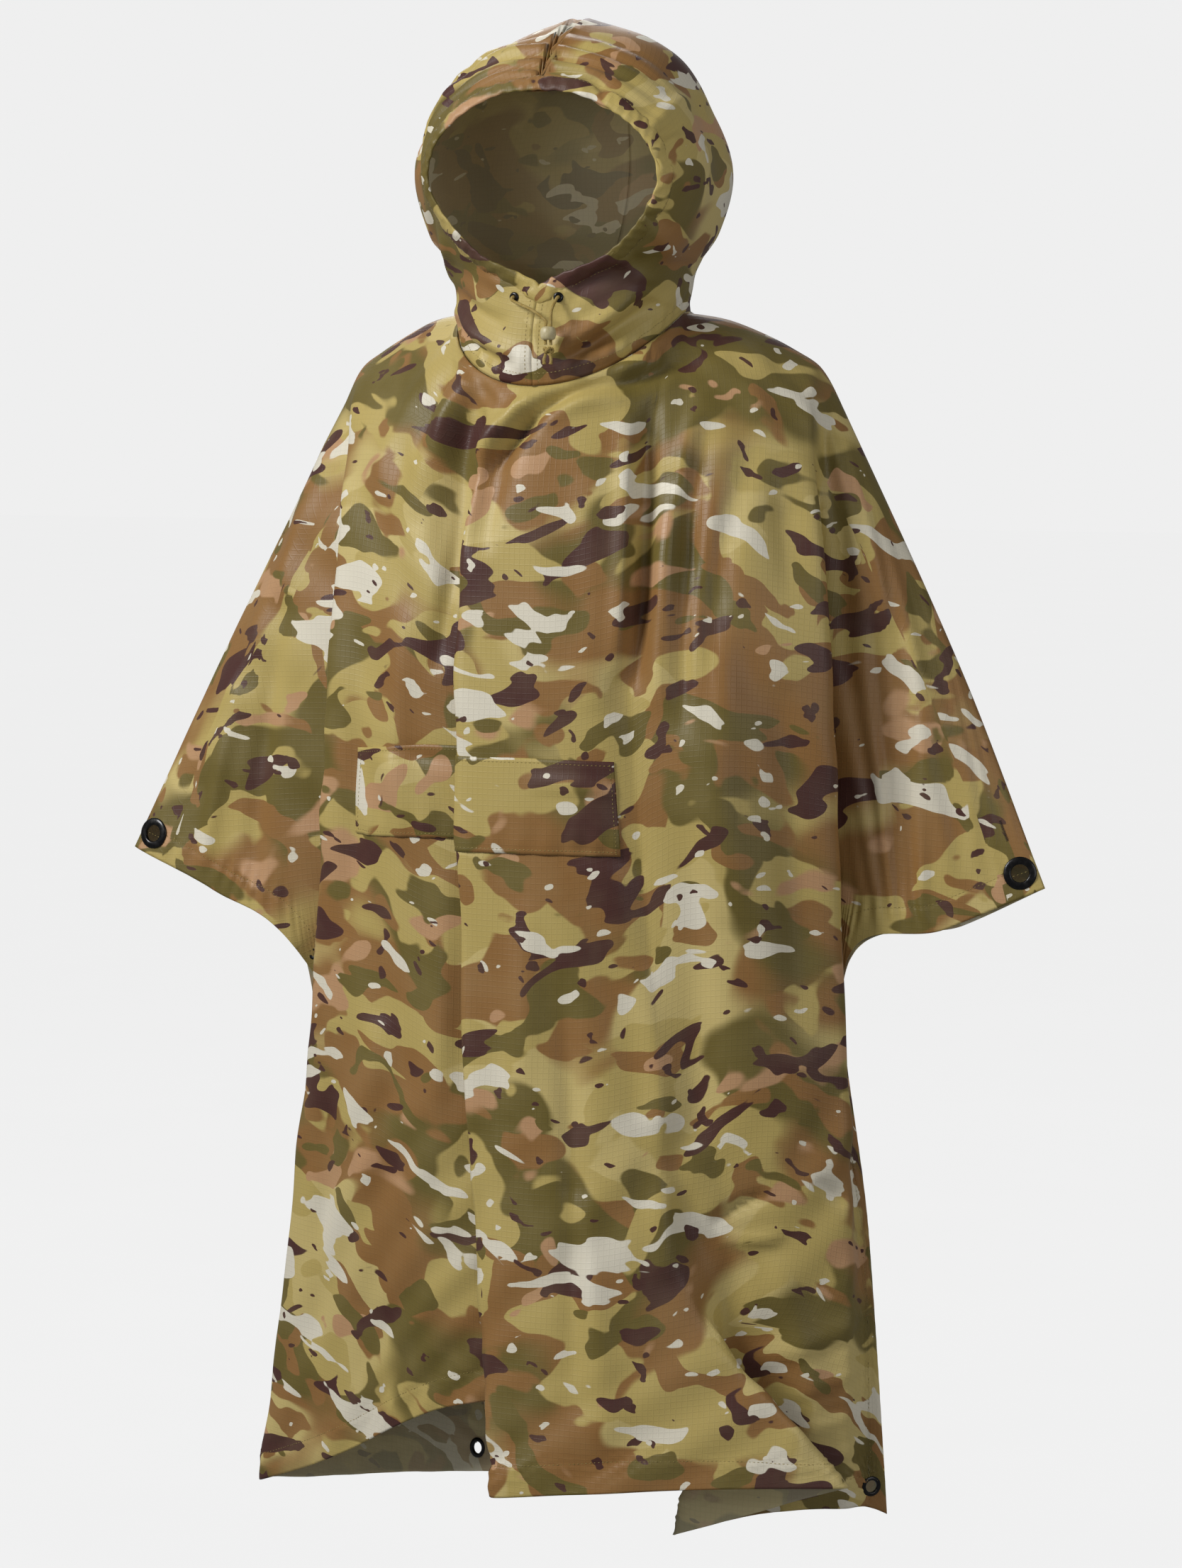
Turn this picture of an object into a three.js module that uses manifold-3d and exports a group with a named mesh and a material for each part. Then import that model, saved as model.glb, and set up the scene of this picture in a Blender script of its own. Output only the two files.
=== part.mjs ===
// Hooded rain poncho, worn open with no wearer inside.
// Millimetres, +Z up, the front faces -Y, the wearer's left is +X.
// The origin is where the neck and shoulders carry the garment.
import * as THREE from "three";
import { mergeVertices } from "three/addons/utils/BufferGeometryUtils.js";
import Module from "manifold-3d";

const wasm = await Module();
wasm.setup();

// Driving sizes
const cloth = { wall: 2, seamGap: 0.3, pleatGap: 14, turnReach: 22, turnTip: 2 };
const panelSteps = {
  aboveFlap: 5, onFlap: 2, belowFlap: 8, crowding: 1.3, hemCrowding: 0.75,
  ridge: 0.55, nearNeck: 20, beyond: 80,
};
const neck = {
  halfWidth: 105, middleY: -20, frontDepth: 110, backDepth: 100,
  sideZ: 26, frontDrop: 66, frontPower: 1.3, backRise: 4,
  quarterLength: 160, bodyOut: 1.9, bodyDown: 0.8,
};

// The line that carries the cloth beyond the neck: shoulder, arm line and wing tip.
// "along" is the distance from the garment's centre, measured on that line.
const armLine = [
  { along: 160, x: 106.6, y: -20, z: 25.4 },
  { along: 198, x: 143, y: -8, z: 19 },
  { along: 234, x: 176, y: 4, z: 5.5 },
  { along: 265, x: 203, y: 11, z: -9 },
  { along: 292, x: 226, y: 15, z: -25 },
  { along: 331, x: 246, y: 16, z: -60 },
  { along: 596, x: 367, y: -4, z: -300 },
  { along: 800, x: 451, y: -32, z: -487 },
];

// How far down the cloth each named level lies, as a share of its drop.
const levels = [0, 0.22, 0.52, 0.78, 1];

// Each fold runs down the cloth from its place on the carrying line.
// The levels chest, sleeve, low and hem give it as x, y, z. A turn is a fold that can double back.
const frontCentre = {
  along: 0, chest: [15, -168, -224], sleeve: [20, -184, -593], low: [41, -204, -828], hem: [82, -218, -1028],
};
const frontLeft = [
  { fold: "pleatEdge", along: 30, turn: 1,
    chest: [-62, -162, -224], sleeve: [-53, -180, -593], low: [-35, -195, -825], hem: [-12, -216, -1040] },
  { fold: "pleatDepth", along: 50, turn: 1,
    chest: [-32, -138, -221], sleeve: [-16, -150, -583], low: [6, -159, -805], hem: [41, -166, -960] },
  { fold: "chestRidge", along: 100, turn: 0,
    chest: [-100, -140, -214], sleeve: [-106, -148, -583], low: [-97, -153, -799], hem: [-92, -144, -975] },
  { fold: "chestSide", along: 200, turn: 0,
    chest: [-160, -118, -224], sleeve: [-172, -119, -583], low: [-193, -110, -810], hem: [-210, -90, -1056] },
  { fold: "bodyEdge", along: 280, turn: 1,
    chest: [-212, -98, -239], sleeve: [-239, -89, -575], low: [-279, -56, -822], hem: [-330, -21, -1108] },
  { fold: "underArm", along: 310, turn: 1,
    chest: [-188, -68, -261], sleeve: [-198, -63, -563], low: [-232, -37, -816], hem: [-262, -4, -1102] },
  { fold: "wingMiddle", along: 560, turn: 0,
    chest: [-300, -48, -343], sleeve: [-233, -51, -569], low: [-212, -12, -810], hem: [-174, -23, -1084] },
  { fold: "sideEdge", along: 800, turn: 0,
    chest: [-364, -44, -523], sleeve: [-265, -53, -583], low: [-152, 4, -812], hem: [-64, -64, -1062] },
];
const frontRight = [
  { fold: "centreSide", along: 75, turn: 0,
    chest: [62, -158, -224], sleeve: [86, -172, -593], low: [107, -188, -828], hem: [195, -193, -1018] },
  { fold: "pleatEdge", along: 120, turn: 1,
    chest: [92, -142, -224], sleeve: [121, -150, -591], low: [149, -165, -825], hem: [306, -133, -1022] },
  { fold: "pleatDepth", along: 145, turn: 1,
    chest: [108, -138, -224], sleeve: [140, -147, -589], low: [187, -128, -822], hem: [133, -133, -1084] },
  { fold: "chestRidge", along: 205, turn: 0,
    chest: [170, -140, -227], sleeve: [210, -140, -589], low: [244, -110, -822], hem: [221, -103, -1060] },
  { fold: "bodyEdge", along: 285, turn: 1,
    chest: [264, -78, -239], sleeve: [283, -83, -575], low: [291, -86, -820], hem: [283, -76, -1060] },
  { fold: "underArm", along: 315, turn: 1,
    chest: [236, -50, -257], sleeve: [243, -53, -568], low: [289, -63, -818], hem: [295, -62, -1060] },
  { fold: "wingMiddle", along: 560, turn: 0,
    chest: [305, -46, -348], sleeve: [259, -51, -573], low: [293, -53, -814], hem: [305, -54, -1064] },
  { fold: "sideEdge", along: 800, turn: 0,
    chest: [364, -45, -526], sleeve: [271, -51, -566], low: [293, -43, -812], hem: [314, -47, -1070] },
];
const backCentre = {
  along: 0, chest: [0, 118, -229], sleeve: [0, 144, -593], low: [-4, 163, -830], hem: [-8, 183, -1077],
};
const backLeft = [
  { fold: "spineRidge", along: 30, turn: 1,
    chest: [-36, 128, -227], sleeve: [-47, 170, -593], low: [-59, 195, -828], hem: [-72, 220, -1081] },
  { fold: "spineValley", along: 50, turn: 1,
    chest: [-60, 126, -225], sleeve: [-73, 148, -591], low: [-86, 163, -826], hem: [-98, 176, -1077] },
  { fold: "bladeRidge", along: 100, turn: 0,
    chest: [-110, 126, -221], sleeve: [-129, 168, -589], low: [-153, 187, -826], hem: [-172, 207, -1081] },
  { fold: "bladeSide", along: 200, turn: 0,
    chest: [-170, 104, -227], sleeve: [-192, 117, -587], low: [-218, 126, -822], hem: [-242, 135, -1077] },
  { fold: "bodyEdge", along: 280, turn: 1,
    chest: [-228, 62, -239], sleeve: [-247, 71, -577], low: [-273, 79, -820], hem: [-300, 86, -1079] },
  { fold: "underArm", along: 310, turn: 1,
    chest: [-200, 30, -259], sleeve: [-208, 34, -569], low: [-248, 51, -816], hem: [-283, 60, -1075] },
  { fold: "wingMiddle", along: 560, turn: 0,
    chest: [-302, 26, -343], sleeve: [-235, -32, -575], low: [-257, 26, -812], hem: [-291, 41, -1073] },
  { fold: "sideEdge", along: 800, turn: 0,
    chest: [-366, 8, -527], sleeve: [-265, -47.0, -583], low: [-267, -4, -810], hem: [-298, 23, -1071] },
];
const backRight = [
  { fold: "spineSide", along: 75, turn: 0,
    chest: [70, 132, -225], sleeve: [79, 154, -591], low: [90, 169, -828], hem: [103, 185, -1075] },
  { fold: "bladeRidge", along: 120, turn: 1,
    chest: [104, 132, -223], sleeve: [123, 174, -591], low: [149, 200, -826], hem: [174, 220, -1081] },
  { fold: "bladeValley", along: 145, turn: 1,
    chest: [126, 124, -223], sleeve: [144, 148, -589], low: [167, 163, -824], hem: [185, 176, -1077] },
  { fold: "bladeSide", along: 205, turn: 0,
    chest: [170, 106, -225], sleeve: [182, 131, -587], low: [200, 145, -822], hem: [218, 154, -1081] },
  { fold: "bodyEdge", along: 285, turn: 1,
    chest: [236, 48, -239], sleeve: [227, 57, -577], low: [236, 71, -820], hem: [256, 84, -1081] },
  { fold: "underArm", along: 315, turn: 1,
    chest: [208, 22, -257], sleeve: [198, 26, -569], low: [216, 45, -816], hem: [238, 57, -1077] },
  { fold: "wingMiddle", along: 560, turn: 0,
    chest: [304, 24, -348], sleeve: [241, -32, -575], low: [265, 14, -812], hem: [287, 23, -1075] },
  { fold: "sideEdge", along: 800, turn: 0,
    chest: [366, 8, -530], sleeve: [271, -45, -566], low: [279, -12, -810], hem: [295, 4, -1073] },
];

// Hood sections from the neck seam up to the crown seam, each from the face edge round to the back.
const hoodRows = [
  { rise: 0, faceX: 0, faceY: -130, faceZ: -40, halfWidth: 105,
    sideY: -20, sideZ: 26, backY: 80, backZ: 30 },
  { rise: 0.1, faceX: 0, faceY: -132, faceZ: -4, halfWidth: 106,
    sideY: -22, sideZ: 45, backY: 76, backZ: 46 },
  { rise: 0.24, faceX: 0, faceY: -131, faceZ: 46, halfWidth: 118,
    sideY: -24, sideZ: 70, backY: 86, backZ: 78 },
  { rise: 0.34, faceX: 62, faceY: -134, faceZ: 76, halfWidth: 134,
    sideY: -28, sideZ: 98, backY: 106, backZ: 104 },
  { rise: 0.5, faceX: 106, faceY: -138, faceZ: 128, halfWidth: 146,
    sideY: -32, sideZ: 146, backY: 126, backZ: 144 },
  { rise: 0.66, faceX: 104, faceY: -144, faceZ: 168, halfWidth: 136,
    sideY: -34, sideZ: 190, backY: 130, backZ: 182 },
  { rise: 0.8, faceX: 76, faceY: -150, faceZ: 198, halfWidth: 108,
    sideY: -36, sideZ: 235, backY: 122, backZ: 218 },
  { rise: 0.92, faceX: 36, faceY: -154, faceZ: 217, halfWidth: 64,
    sideY: -36, sideZ: 272, backY: 104, backZ: 246 },
  { rise: 1, faceX: 0, faceY: -154, faceZ: 221, halfWidth: 0,
    sideY: -36, sideZ: 293, backY: 92, backZ: 257 },
];
const hoodSteps = { round: 14, up: 13 };

// The finished hood leans towards the wearer's left, at its face above fromZ and over its crown
const hoodLean = {
  most: 12.5, fromZ: 0, fullZ: 90, faceFrom: 40, faceFull: 120, crownFrom: 200, crownFull: 262,
};

// The pocket flap's edges: control points from the panel's wearer-right edge, and shares of its drop
const flap = { from: 9.5, to: 22, top: 0.342, bottom: 0.408 };
const eyeletSizes = {
  wing: { outer: 15, hole: 8, height: 4.4 },
  corner: { outer: 9.5, hole: 5.5, height: 4 },
  cord: { outer: 4.6, hole: 1.8, height: 3.6 },
};
const eyeletSides = 16;
const wingEyelet = { fromRidge: 0.034, fromEdge: 20 };
const cornerEyelet = { fromHem: 0.982, fromEdge: 16 };
const snap = { radius: 6, height: 12, sides: 16 };
const cord = { radius: 1.4, sides: 8, steps: 18 };
const cordEyeletPlace = { rise: 0.215, centre: 3, sideways: 21 };
const lock = { x: 21, y: -147, z: 6, radius: 7.2, height: 12, boreApart: 5, boreRadius: 1.8 };
const knot = { radius: 4.4, drop: 9 };

const colours = { cloth: 0xa3925c, black: 0x16171a, cord: 0xb89b45, lock: 0xb9b08f };

// Smooth curve through values at growing knots
function through(knots, values, t) {
  let i = 0;
  while (i < knots.length - 2 && t > knots[i + 1]) i += 1;
  const slope = (k) => {
    const a = Math.max(k - 1, 0);
    const b = Math.min(k + 1, knots.length - 1);
    return (values[b] - values[a]) / (knots[b] - knots[a]);
  };
  const span = knots[i + 1] - knots[i];
  const s = THREE.MathUtils.clamp((t - knots[i]) / span, 0, 1);
  const s2 = s * s;
  const s3 = s2 * s;
  return (2 * s3 - 3 * s2 + 1) * values[i] + (s3 - 2 * s2 + s) * span * slope(i)
    + (3 * s2 - 2 * s3) * values[i + 1] + (s3 - s2) * span * slope(i + 1);
}

// The neck seam as a ring: angle 0 is the front centre, a half turn is the back centre
function neckRing(angle, side, out, down) {
  const ahead = Math.cos(angle);
  const depth = ahead > 0 ? neck.frontDepth : neck.backDepth;
  const drop = ahead > 0 ? neck.frontDrop * ahead ** neck.frontPower : neck.backRise * ahead;
  return new THREE.Vector3(
    side * (neck.halfWidth + out) * Math.sin(angle),
    neck.middleY - (depth + out) * ahead,
    neck.sideZ - drop - down,
  );
}

function carryingLine(along, side, facing) {
  if (along <= neck.quarterLength) {
    const quarter = (Math.PI / 2) * (along / neck.quarterLength);
    const angle = facing < 0 ? quarter : Math.PI - quarter;
    const point = neckRing(angle, side, neck.bodyOut, neck.bodyDown);
    point.y += facing * cloth.seamGap * 0.5 * (along / neck.quarterLength);
    return point;
  }
  const knots = armLine.map((row) => row.along);
  const pick = (axis) => through(knots, armLine.map((row) => row[axis]), along);
  return new THREE.Vector3(side * pick("x"), pick("y") + facing * cloth.seamGap * 0.5, pick("z"));
}

// Where a fold lies at a given drop; near the carrying line the cloth rounds over quickly
function foldPoint(row, side, facing, drop) {
  const top = carryingLine(row.along, side, facing);
  const chest = levels[1];
  const rounded = drop < chest ? chest * (drop / chest) ** panelSteps.ridge : drop;
  const column = (k) => [top.getComponent(k), row.chest[k], row.sleeve[k], row.low[k], row.hem[k]];
  return new THREE.Vector3(
    through(levels, column(0), drop),
    through(levels, column(1), rounded),
    through(levels, column(2), drop),
  );
}

// How far a turn's two layers stand off its middle, so that they never meet
function turnShift(points, k, facing) {
  const before = points[k - 1].clone().sub(points[k]);
  const after = points[k + 1].clone().sub(points[k]);
  const nearest = Math.min(before.length(), after.length());
  const doubled = (1 + before.normalize().dot(after.normalize())) / 2;
  return -facing * Math.min(0.5 * cloth.pleatGap * doubled, 0.3 * nearest);
}

// One side's folds as control points from the centre outwards; a turn becomes a rounded double-back
function sideControls(centre, rows, side, facing, drop) {
  const folds = [centre, ...rows];
  const points = folds.map((row) => foldPoint(row, side, facing, drop));
  const shifts = folds.map((row, k) => (row.turn ? turnShift(points, k, facing) : 0));
  const arriving = points.map((point, k) => point.clone().setY(point.y - shifts[k]));
  const leaving = points.map((point, k) => point.clone().setY(point.y + shifts[k]));
  const controls = [];
  folds.forEach((row, k) => {
    if (!row.turn) {
      controls.push({ point: points[k], along: row.along });
      return;
    }
    const step = (from, towards, reach, neighbour) => {
      const gap = from.distanceTo(towards);
      const alongGap = neighbour.along - row.along;
      const share = Math.min(reach / Math.max(gap, 1), 0.4);
      const alongShare = Math.min(reach / Math.abs(alongGap), 0.4);
      return { point: from.clone().lerp(towards, share), along: row.along + alongShare * alongGap };
    };
    const [inner, outer] = [folds[k - 1], folds[k + 1]];
    controls.push(step(arriving[k], leaving[k - 1], cloth.turnReach, inner));
    controls.push(step(arriving[k], leaving[k - 1], cloth.turnTip, inner));
    controls.push(step(leaving[k], arriving[k + 1], cloth.turnTip, outer));
    controls.push(step(leaving[k], arriving[k + 1], cloth.turnReach, outer));
  });
  return controls;
}

function panelControls(panel, drop) {
  const left = sideControls(panel.centre, panel.left, -1, panel.facing, drop);
  const right = sideControls(panel.centre, panel.right, 1, panel.facing, drop);
  const signed = left.map((c) => ({ point: c.point, along: -c.along })).reverse();
  return signed.concat(right.slice(1));
}

// Cubic B-spline weights over four neighbouring control points
function blendWeights(s) {
  const r = 1 - s;
  return [r ** 3 / 6, (3 * s ** 3 - 6 * s ** 2 + 4) / 6, (3 * r ** 3 - 6 * r ** 2 + 4) / 6, s ** 3 / 6];
}

function blended(controls, place, read, add) {
  const last = controls.length - 1;
  const span = Math.min(Math.floor(place), last - 1);
  const weights = blendWeights(place - span);
  return weights.reduce((sum, weight, k) => {
    const index = span + k - 1;
    if (index >= 0 && index <= last) return add(sum, read(controls[index]), weight);
    const [end, beside] = index < 0 ? [0, 1] : [last, last - 1];
    return add(add(sum, read(controls[end]), 2 * weight), read(controls[beside]), -weight);
  }, null);
}

function alongAt(controls, place) {
  return blended(controls, place, (c) => c.along, (sum, value, weight) => (sum ?? 0) + value * weight);
}

function pointAt(controls, place) {
  return blended(controls, place, (c) => c.point,
    (sum, value, weight) => (sum ?? new THREE.Vector3()).addScaledVector(value, weight));
}

// A point of a panel's middle surface: place counts control points from the left edge
function panelPoint(panel, place, drop) {
  const controls = panelControls(panel, drop);
  if (drop > 0) return pointAt(controls, place);
  const along = alongAt(controls, place);
  return carryingLine(Math.abs(along), Math.sign(along) || 1, panel.facing);
}

function panelNormal(panel, place, drop) {
  const step = 0.02;
  const across = panelPoint(panel, Math.min(place + step, panel.last), drop)
    .sub(panelPoint(panel, Math.max(place - step, 0), drop));
  const down = panelPoint(panel, place, Math.min(drop + 0.01, 1))
    .sub(panelPoint(panel, place, Math.max(drop - 0.01, 0.001)));
  const normal = panel.facing < 0 ? down.cross(across) : across.cross(down);
  const along = Math.abs(alongAt(panelControls(panel, 0), place));
  if (drop === 0 && along >= neck.quarterLength - 1) normal.y = 0;
  return normal.normalize();
}

// Columns follow the folds: fine at a turn and round the neck, wide elsewhere
function panelPlaces(panel) {
  const controls = panelControls(panel, 0);
  const places = [0];
  for (let k = 0; k < controls.length - 1; k += 1) {
    const [a, b] = [Math.abs(controls[k].along), Math.abs(controls[k + 1].along)];
    const isTip = Math.abs(a - b) < 2 * cloth.turnTip + 0.1;
    const longest = Math.min(a, b) < neck.quarterLength ? panelSteps.nearNeck : panelSteps.beyond;
    const steps = isTip ? 2 : Math.ceil(Math.abs(a - b) / longest);
    for (let n = 1; n <= steps; n += 1) places.push(k + n / steps);
  }
  return places;
}

function panelDrops() {
  const drops = [];
  for (let j = 0; j < panelSteps.aboveFlap; j += 1) {
    drops.push(flap.top * (j / panelSteps.aboveFlap) ** panelSteps.crowding);
  }
  for (let j = 0; j < panelSteps.onFlap; j += 1) {
    drops.push(flap.top + ((flap.bottom - flap.top) * j) / panelSteps.onFlap);
  }
  for (let j = 0; j <= panelSteps.belowFlap; j += 1) {
    drops.push(flap.bottom + (1 - flap.bottom) * (j / panelSteps.belowFlap) ** panelSteps.hemCrowding);
  }
  return drops;
}

function panelGrid(panel, places, drops, outset) {
  const points = drops.map((drop) => places.map((place) => panelPoint(panel, place, drop)));
  const normals = drops.map((drop) => places.map((place) => panelNormal(panel, place, drop)));
  return wallGeometry(points, normals, cloth.wall, outset);
}

function panelOf(centre, left, right, facing) {
  const panel = { centre, left, right, facing };
  panel.last = panelControls(panel, 1).length - 1;
  return panel;
}

const frontPanel = panelOf(frontCentre, frontLeft, frontRight, -1);
const backPanel = panelOf(backCentre, backLeft, backRight, 1);

// A grid of points and normals becomes a closed wall; outset is the middle of the wall
function wallGeometry(points, normals, wall, outset) {
  const down = points.length;
  const across = points[0].length;
  const positions = [];
  const index = [];
  [outset + wall / 2, outset - wall / 2].forEach((offset) => {
    points.forEach((row, j) => row.forEach((point, i) => {
      positions.push(...point.clone().addScaledVector(normals[j][i], offset).toArray());
    }));
  });
  const back = down * across;
  const id = (j, i) => j * across + i;
  const quad = (a, b, c, d) => index.push(a, b, c, a, c, d);
  for (let j = 0; j < down - 1; j += 1) {
    for (let i = 0; i < across - 1; i += 1) {
      quad(id(j, i), id(j + 1, i), id(j + 1, i + 1), id(j, i + 1));
      quad(back + id(j, i), back + id(j, i + 1), back + id(j + 1, i + 1), back + id(j + 1, i));
    }
  }
  const rim = [];
  for (let i = 0; i < across - 1; i += 1) rim.push(id(0, i));
  for (let j = 0; j < down - 1; j += 1) rim.push(id(j, across - 1));
  for (let i = across - 1; i > 0; i -= 1) rim.push(id(down - 1, i));
  for (let j = down - 1; j > 0; j -= 1) rim.push(id(j, 0));
  rim.forEach((a, k) => {
    const b = rim[(k + 1) % rim.length];
    quad(a, b, back + b, back + a);
  });
  return facedOut(positions, index);
}

function facedOut(positions, index) {
  const corner = (k) => new THREE.Vector3().fromArray(positions, 3 * index[k]);
  let volume = 0;
  for (let k = 0; k < index.length; k += 3) volume += corner(k).dot(corner(k + 1).cross(corner(k + 2)));
  if (volume < 0) {
    for (let k = 0; k < index.length; k += 3) [index[k + 1], index[k + 2]] = [index[k + 2], index[k + 1]];
  }
  const geometry = new THREE.BufferGeometry();
  geometry.setAttribute("position", new THREE.Float32BufferAttribute(positions, 3));
  geometry.setIndex(index);
  return geometry;
}

function panelGeometry(panel) {
  return panelGrid(panel, panelPlaces(panel), panelDrops(), 0);
}

// Hood: each half runs from the face edge (round 0) to the back seam (round 1)
function hoodPoint(side, round, rise) {
  const knots = hoodRows.map((row) => row.rise);
  const at = (name) => through(knots, hoodRows.map((row) => row[name]), rise);
  const halfWidth = Math.max(at("halfWidth"), 0);
  const faceX = rise <= 0.24 || rise >= 1 ? 0 : Math.min(Math.max(at("faceX"), 0), 0.97 * halfWidth);
  if (rise === 0) {
    const ring = neckRing(Math.PI * round, side, 0, 0);
    ring.x = side * Math.max(Math.abs(ring.x), cloth.seamGap / 2);
    return ring;
  }
  const start = halfWidth > 0 ? Math.asin(faceX / halfWidth) : 0;
  const angle = start + (Math.PI - start) * round;
  const ahead = Math.cos(angle);
  const share = ahead > 0 ? ahead / Math.cos(start) : -ahead;
  const endY = ahead > 0 ? at("faceY") : at("backY");
  const endZ = ahead > 0 ? at("faceZ") : at("backZ");
  const power = neck.frontPower + rise * 0.5;
  return new THREE.Vector3(
    side * Math.max(halfWidth * Math.sin(angle), cloth.seamGap / 2),
    at("sideY") + (endY - at("sideY")) * share,
    at("sideZ") + (endZ - at("sideZ")) * share ** power,
  );
}

function hoodNormal(side, round, rise) {
  const step = 0.01;
  const across = hoodPoint(side, Math.min(round + step, 1), rise)
    .sub(hoodPoint(side, Math.max(round - step, 0), rise));
  const up = hoodPoint(side, round, Math.min(rise + step, 0.999))
    .sub(hoodPoint(side, round, Math.max(rise - step, 0.001)));
  const normal = side > 0 ? across.cross(up) : up.cross(across);
  const onSeam = round === 1 || rise === 1 || (round === 0 && rise <= 0.24);
  if (onSeam) normal.x = 0;
  return normal.normalize();
}

// A shear of the finished wall, so that its two faces stay as far apart as they were
function leaned(point) {
  const { smoothstep } = THREE.MathUtils;
  const atFace = smoothstep(-point.y, hoodLean.faceFrom, hoodLean.faceFull);
  const atCrown = smoothstep(point.z, hoodLean.crownFrom, hoodLean.crownFull);
  const share = smoothstep(point.z, hoodLean.fromZ, hoodLean.fullZ) * (1 - (1 - atFace) * (1 - atCrown));
  return point.setX(point.x + hoodLean.most * share);
}

function hoodGeometry(side) {
  const points = [];
  const normals = [];
  for (let j = 0; j <= hoodSteps.up; j += 1) {
    const rise = j / hoodSteps.up;
    const rounds = Array.from({ length: hoodSteps.round + 1 }, (_, i) => i / hoodSteps.round);
    points.push(rounds.map((round) => hoodPoint(side, round, rise)));
    normals.push(rounds.map((round) => hoodNormal(side, round, rise)));
  }
  const geometry = wallGeometry(points, normals, cloth.wall, 0);
  const spots = geometry.attributes.position;
  for (let k = 0; k < spots.count; k += 1) {
    spots.setX(k, leaned(new THREE.Vector3().fromBufferAttribute(spots, k)).x);
  }
  return geometry;
}

// The flap lies on the front panel's own points, moved out past its wall
function flapGeometry() {
  const places = panelPlaces(frontPanel).filter((place) => place >= flap.from && place <= flap.to);
  const drops = panelDrops().filter((drop) => drop > flap.top - 1e-6 && drop < flap.bottom + 1e-6);
  return panelGrid(frontPanel, places, drops, cloth.wall + cloth.seamGap);
}

// Boolean helpers
function solidOf(geometry) {
  const bare = geometry.index ? geometry.toNonIndexed() : geometry.clone();
  ["normal", "uv"].forEach((name) => bare.deleteAttribute(name));
  const merged = mergeVertices(bare, 1e-4);
  return new wasm.Manifold(new wasm.Mesh({
    numProp: 3,
    vertProperties: new Float32Array(merged.attributes.position.array),
    triVerts: new Uint32Array(merged.index.array),
  }));
}

function geometryOf(solid) {
  const mesh = solid.getMesh();
  const geometry = new THREE.BufferGeometry();
  geometry.setAttribute("position", new THREE.Float32BufferAttribute(mesh.vertProperties, 3));
  geometry.setIndex(Array.from(mesh.triVerts));
  return geometry;
}

function cutHoles(geometry, cutters) {
  return geometryOf(cutters.reduce((solid, cutter) => solid.subtract(solidOf(cutter)), solidOf(geometry)));
}

// Turned pieces stand on +Y and are laid along a normal at their place
function laidAt(geometry, point, normal) {
  const turn = new THREE.Quaternion().setFromUnitVectors(new THREE.Vector3(0, 1, 0), normal);
  return geometry.applyQuaternion(turn).translate(point.x, point.y, point.z);
}

function eyeletGeometry(size, place) {
  const half = size.height / 2;
  const middle = (size.hole + size.outer) / 2;
  const profile = [
    [size.hole, -half * 0.5], [middle, -half], [size.outer, -half * 0.4],
    [size.outer, half * 0.4], [middle, half], [size.hole, half * 0.5], [size.hole, -half * 0.5],
  ].map(([r, h]) => new THREE.Vector2(r, h));
  return laidAt(new THREE.LatheGeometry(profile, eyeletSides), place.point, place.normal);
}

function plugCutter(radius, sides, place) {
  const length = 24;
  const cutter = new THREE.CylinderGeometry(radius, radius, length, sides);
  return laidAt(cutter, place.point, place.normal);
}

// A cutter just wider than a round piece of the same number of sides
function widened(radius, sides) {
  return (radius + cloth.seamGap) / Math.cos(Math.PI / sides);
}

function placeOnPanel(panel, side, edgeDistance, drop) {
  const edge = side < 0 ? 0 : panel.last;
  const inward = side < 0 ? 1 : -1;
  const start = panelPoint(panel, edge, drop);
  let place = edge;
  while (panelPoint(panel, place, drop).distanceTo(start) < edgeDistance) place += inward * 0.01;
  return { point: panelPoint(panel, place, drop), normal: panelNormal(panel, place, drop) };
}

function snapPlace(side) {
  const drop = levels[2];
  const front = placeOnPanel(frontPanel, side, 12, drop);
  const back = placeOnPanel(backPanel, side, 12, drop);
  const point = front.point.clone().add(back.point).multiplyScalar(0.5);
  return { point, normal: new THREE.Vector3(0, -1, 0) };
}

const eyelets = [
  { name: "eyelet_wing_right", panel: "front", side: -1, kind: "wing" },
  { name: "eyelet_wing_left", panel: "front", side: 1, kind: "wing" },
  { name: "eyelet_corner_front_right", panel: "front", side: -1, kind: "corner" },
  { name: "eyelet_corner_front_left", panel: "front", side: 1, kind: "corner" },
  { name: "eyelet_corner_back_right", panel: "back", side: -1, kind: "corner" },
  { name: "eyelet_corner_back_left", panel: "back", side: 1, kind: "corner" },
].map((row) => {
  const panel = row.panel === "front" ? frontPanel : backPanel;
  const spot = row.kind === "wing" ? wingEyelet : cornerEyelet;
  const drop = row.kind === "wing" ? spot.fromRidge : spot.fromHem;
  return { ...row, size: eyeletSizes[row.kind], place: placeOnPanel(panel, row.side, spot.fromEdge, drop) };
});

function cordEyelet(side) {
  const { rise, centre, sideways } = cordEyeletPlace;
  let round = 0;
  const spot = () => leaned(hoodPoint(side, round, rise));
  while (side * (spot().x - centre) < sideways) round += 0.001;
  return { point: spot(), normal: hoodNormal(side, round, rise) };
}

function cutterFor(size, place) {
  return plugCutter(widened(size.outer, eyeletSides), eyeletSides, place);
}

function panelWithHoles(name, panel) {
  const cutters = eyelets.filter((row) => row.panel === name).map((row) => cutterFor(row.size, row.place));
  const snapHole = widened(snap.radius, snap.sides);
  [-1, 1].forEach((side) => cutters.push(plugCutter(snapHole, snap.sides, snapPlace(side))));
  return cutHoles(panelGeometry(panel), cutters);
}

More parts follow.
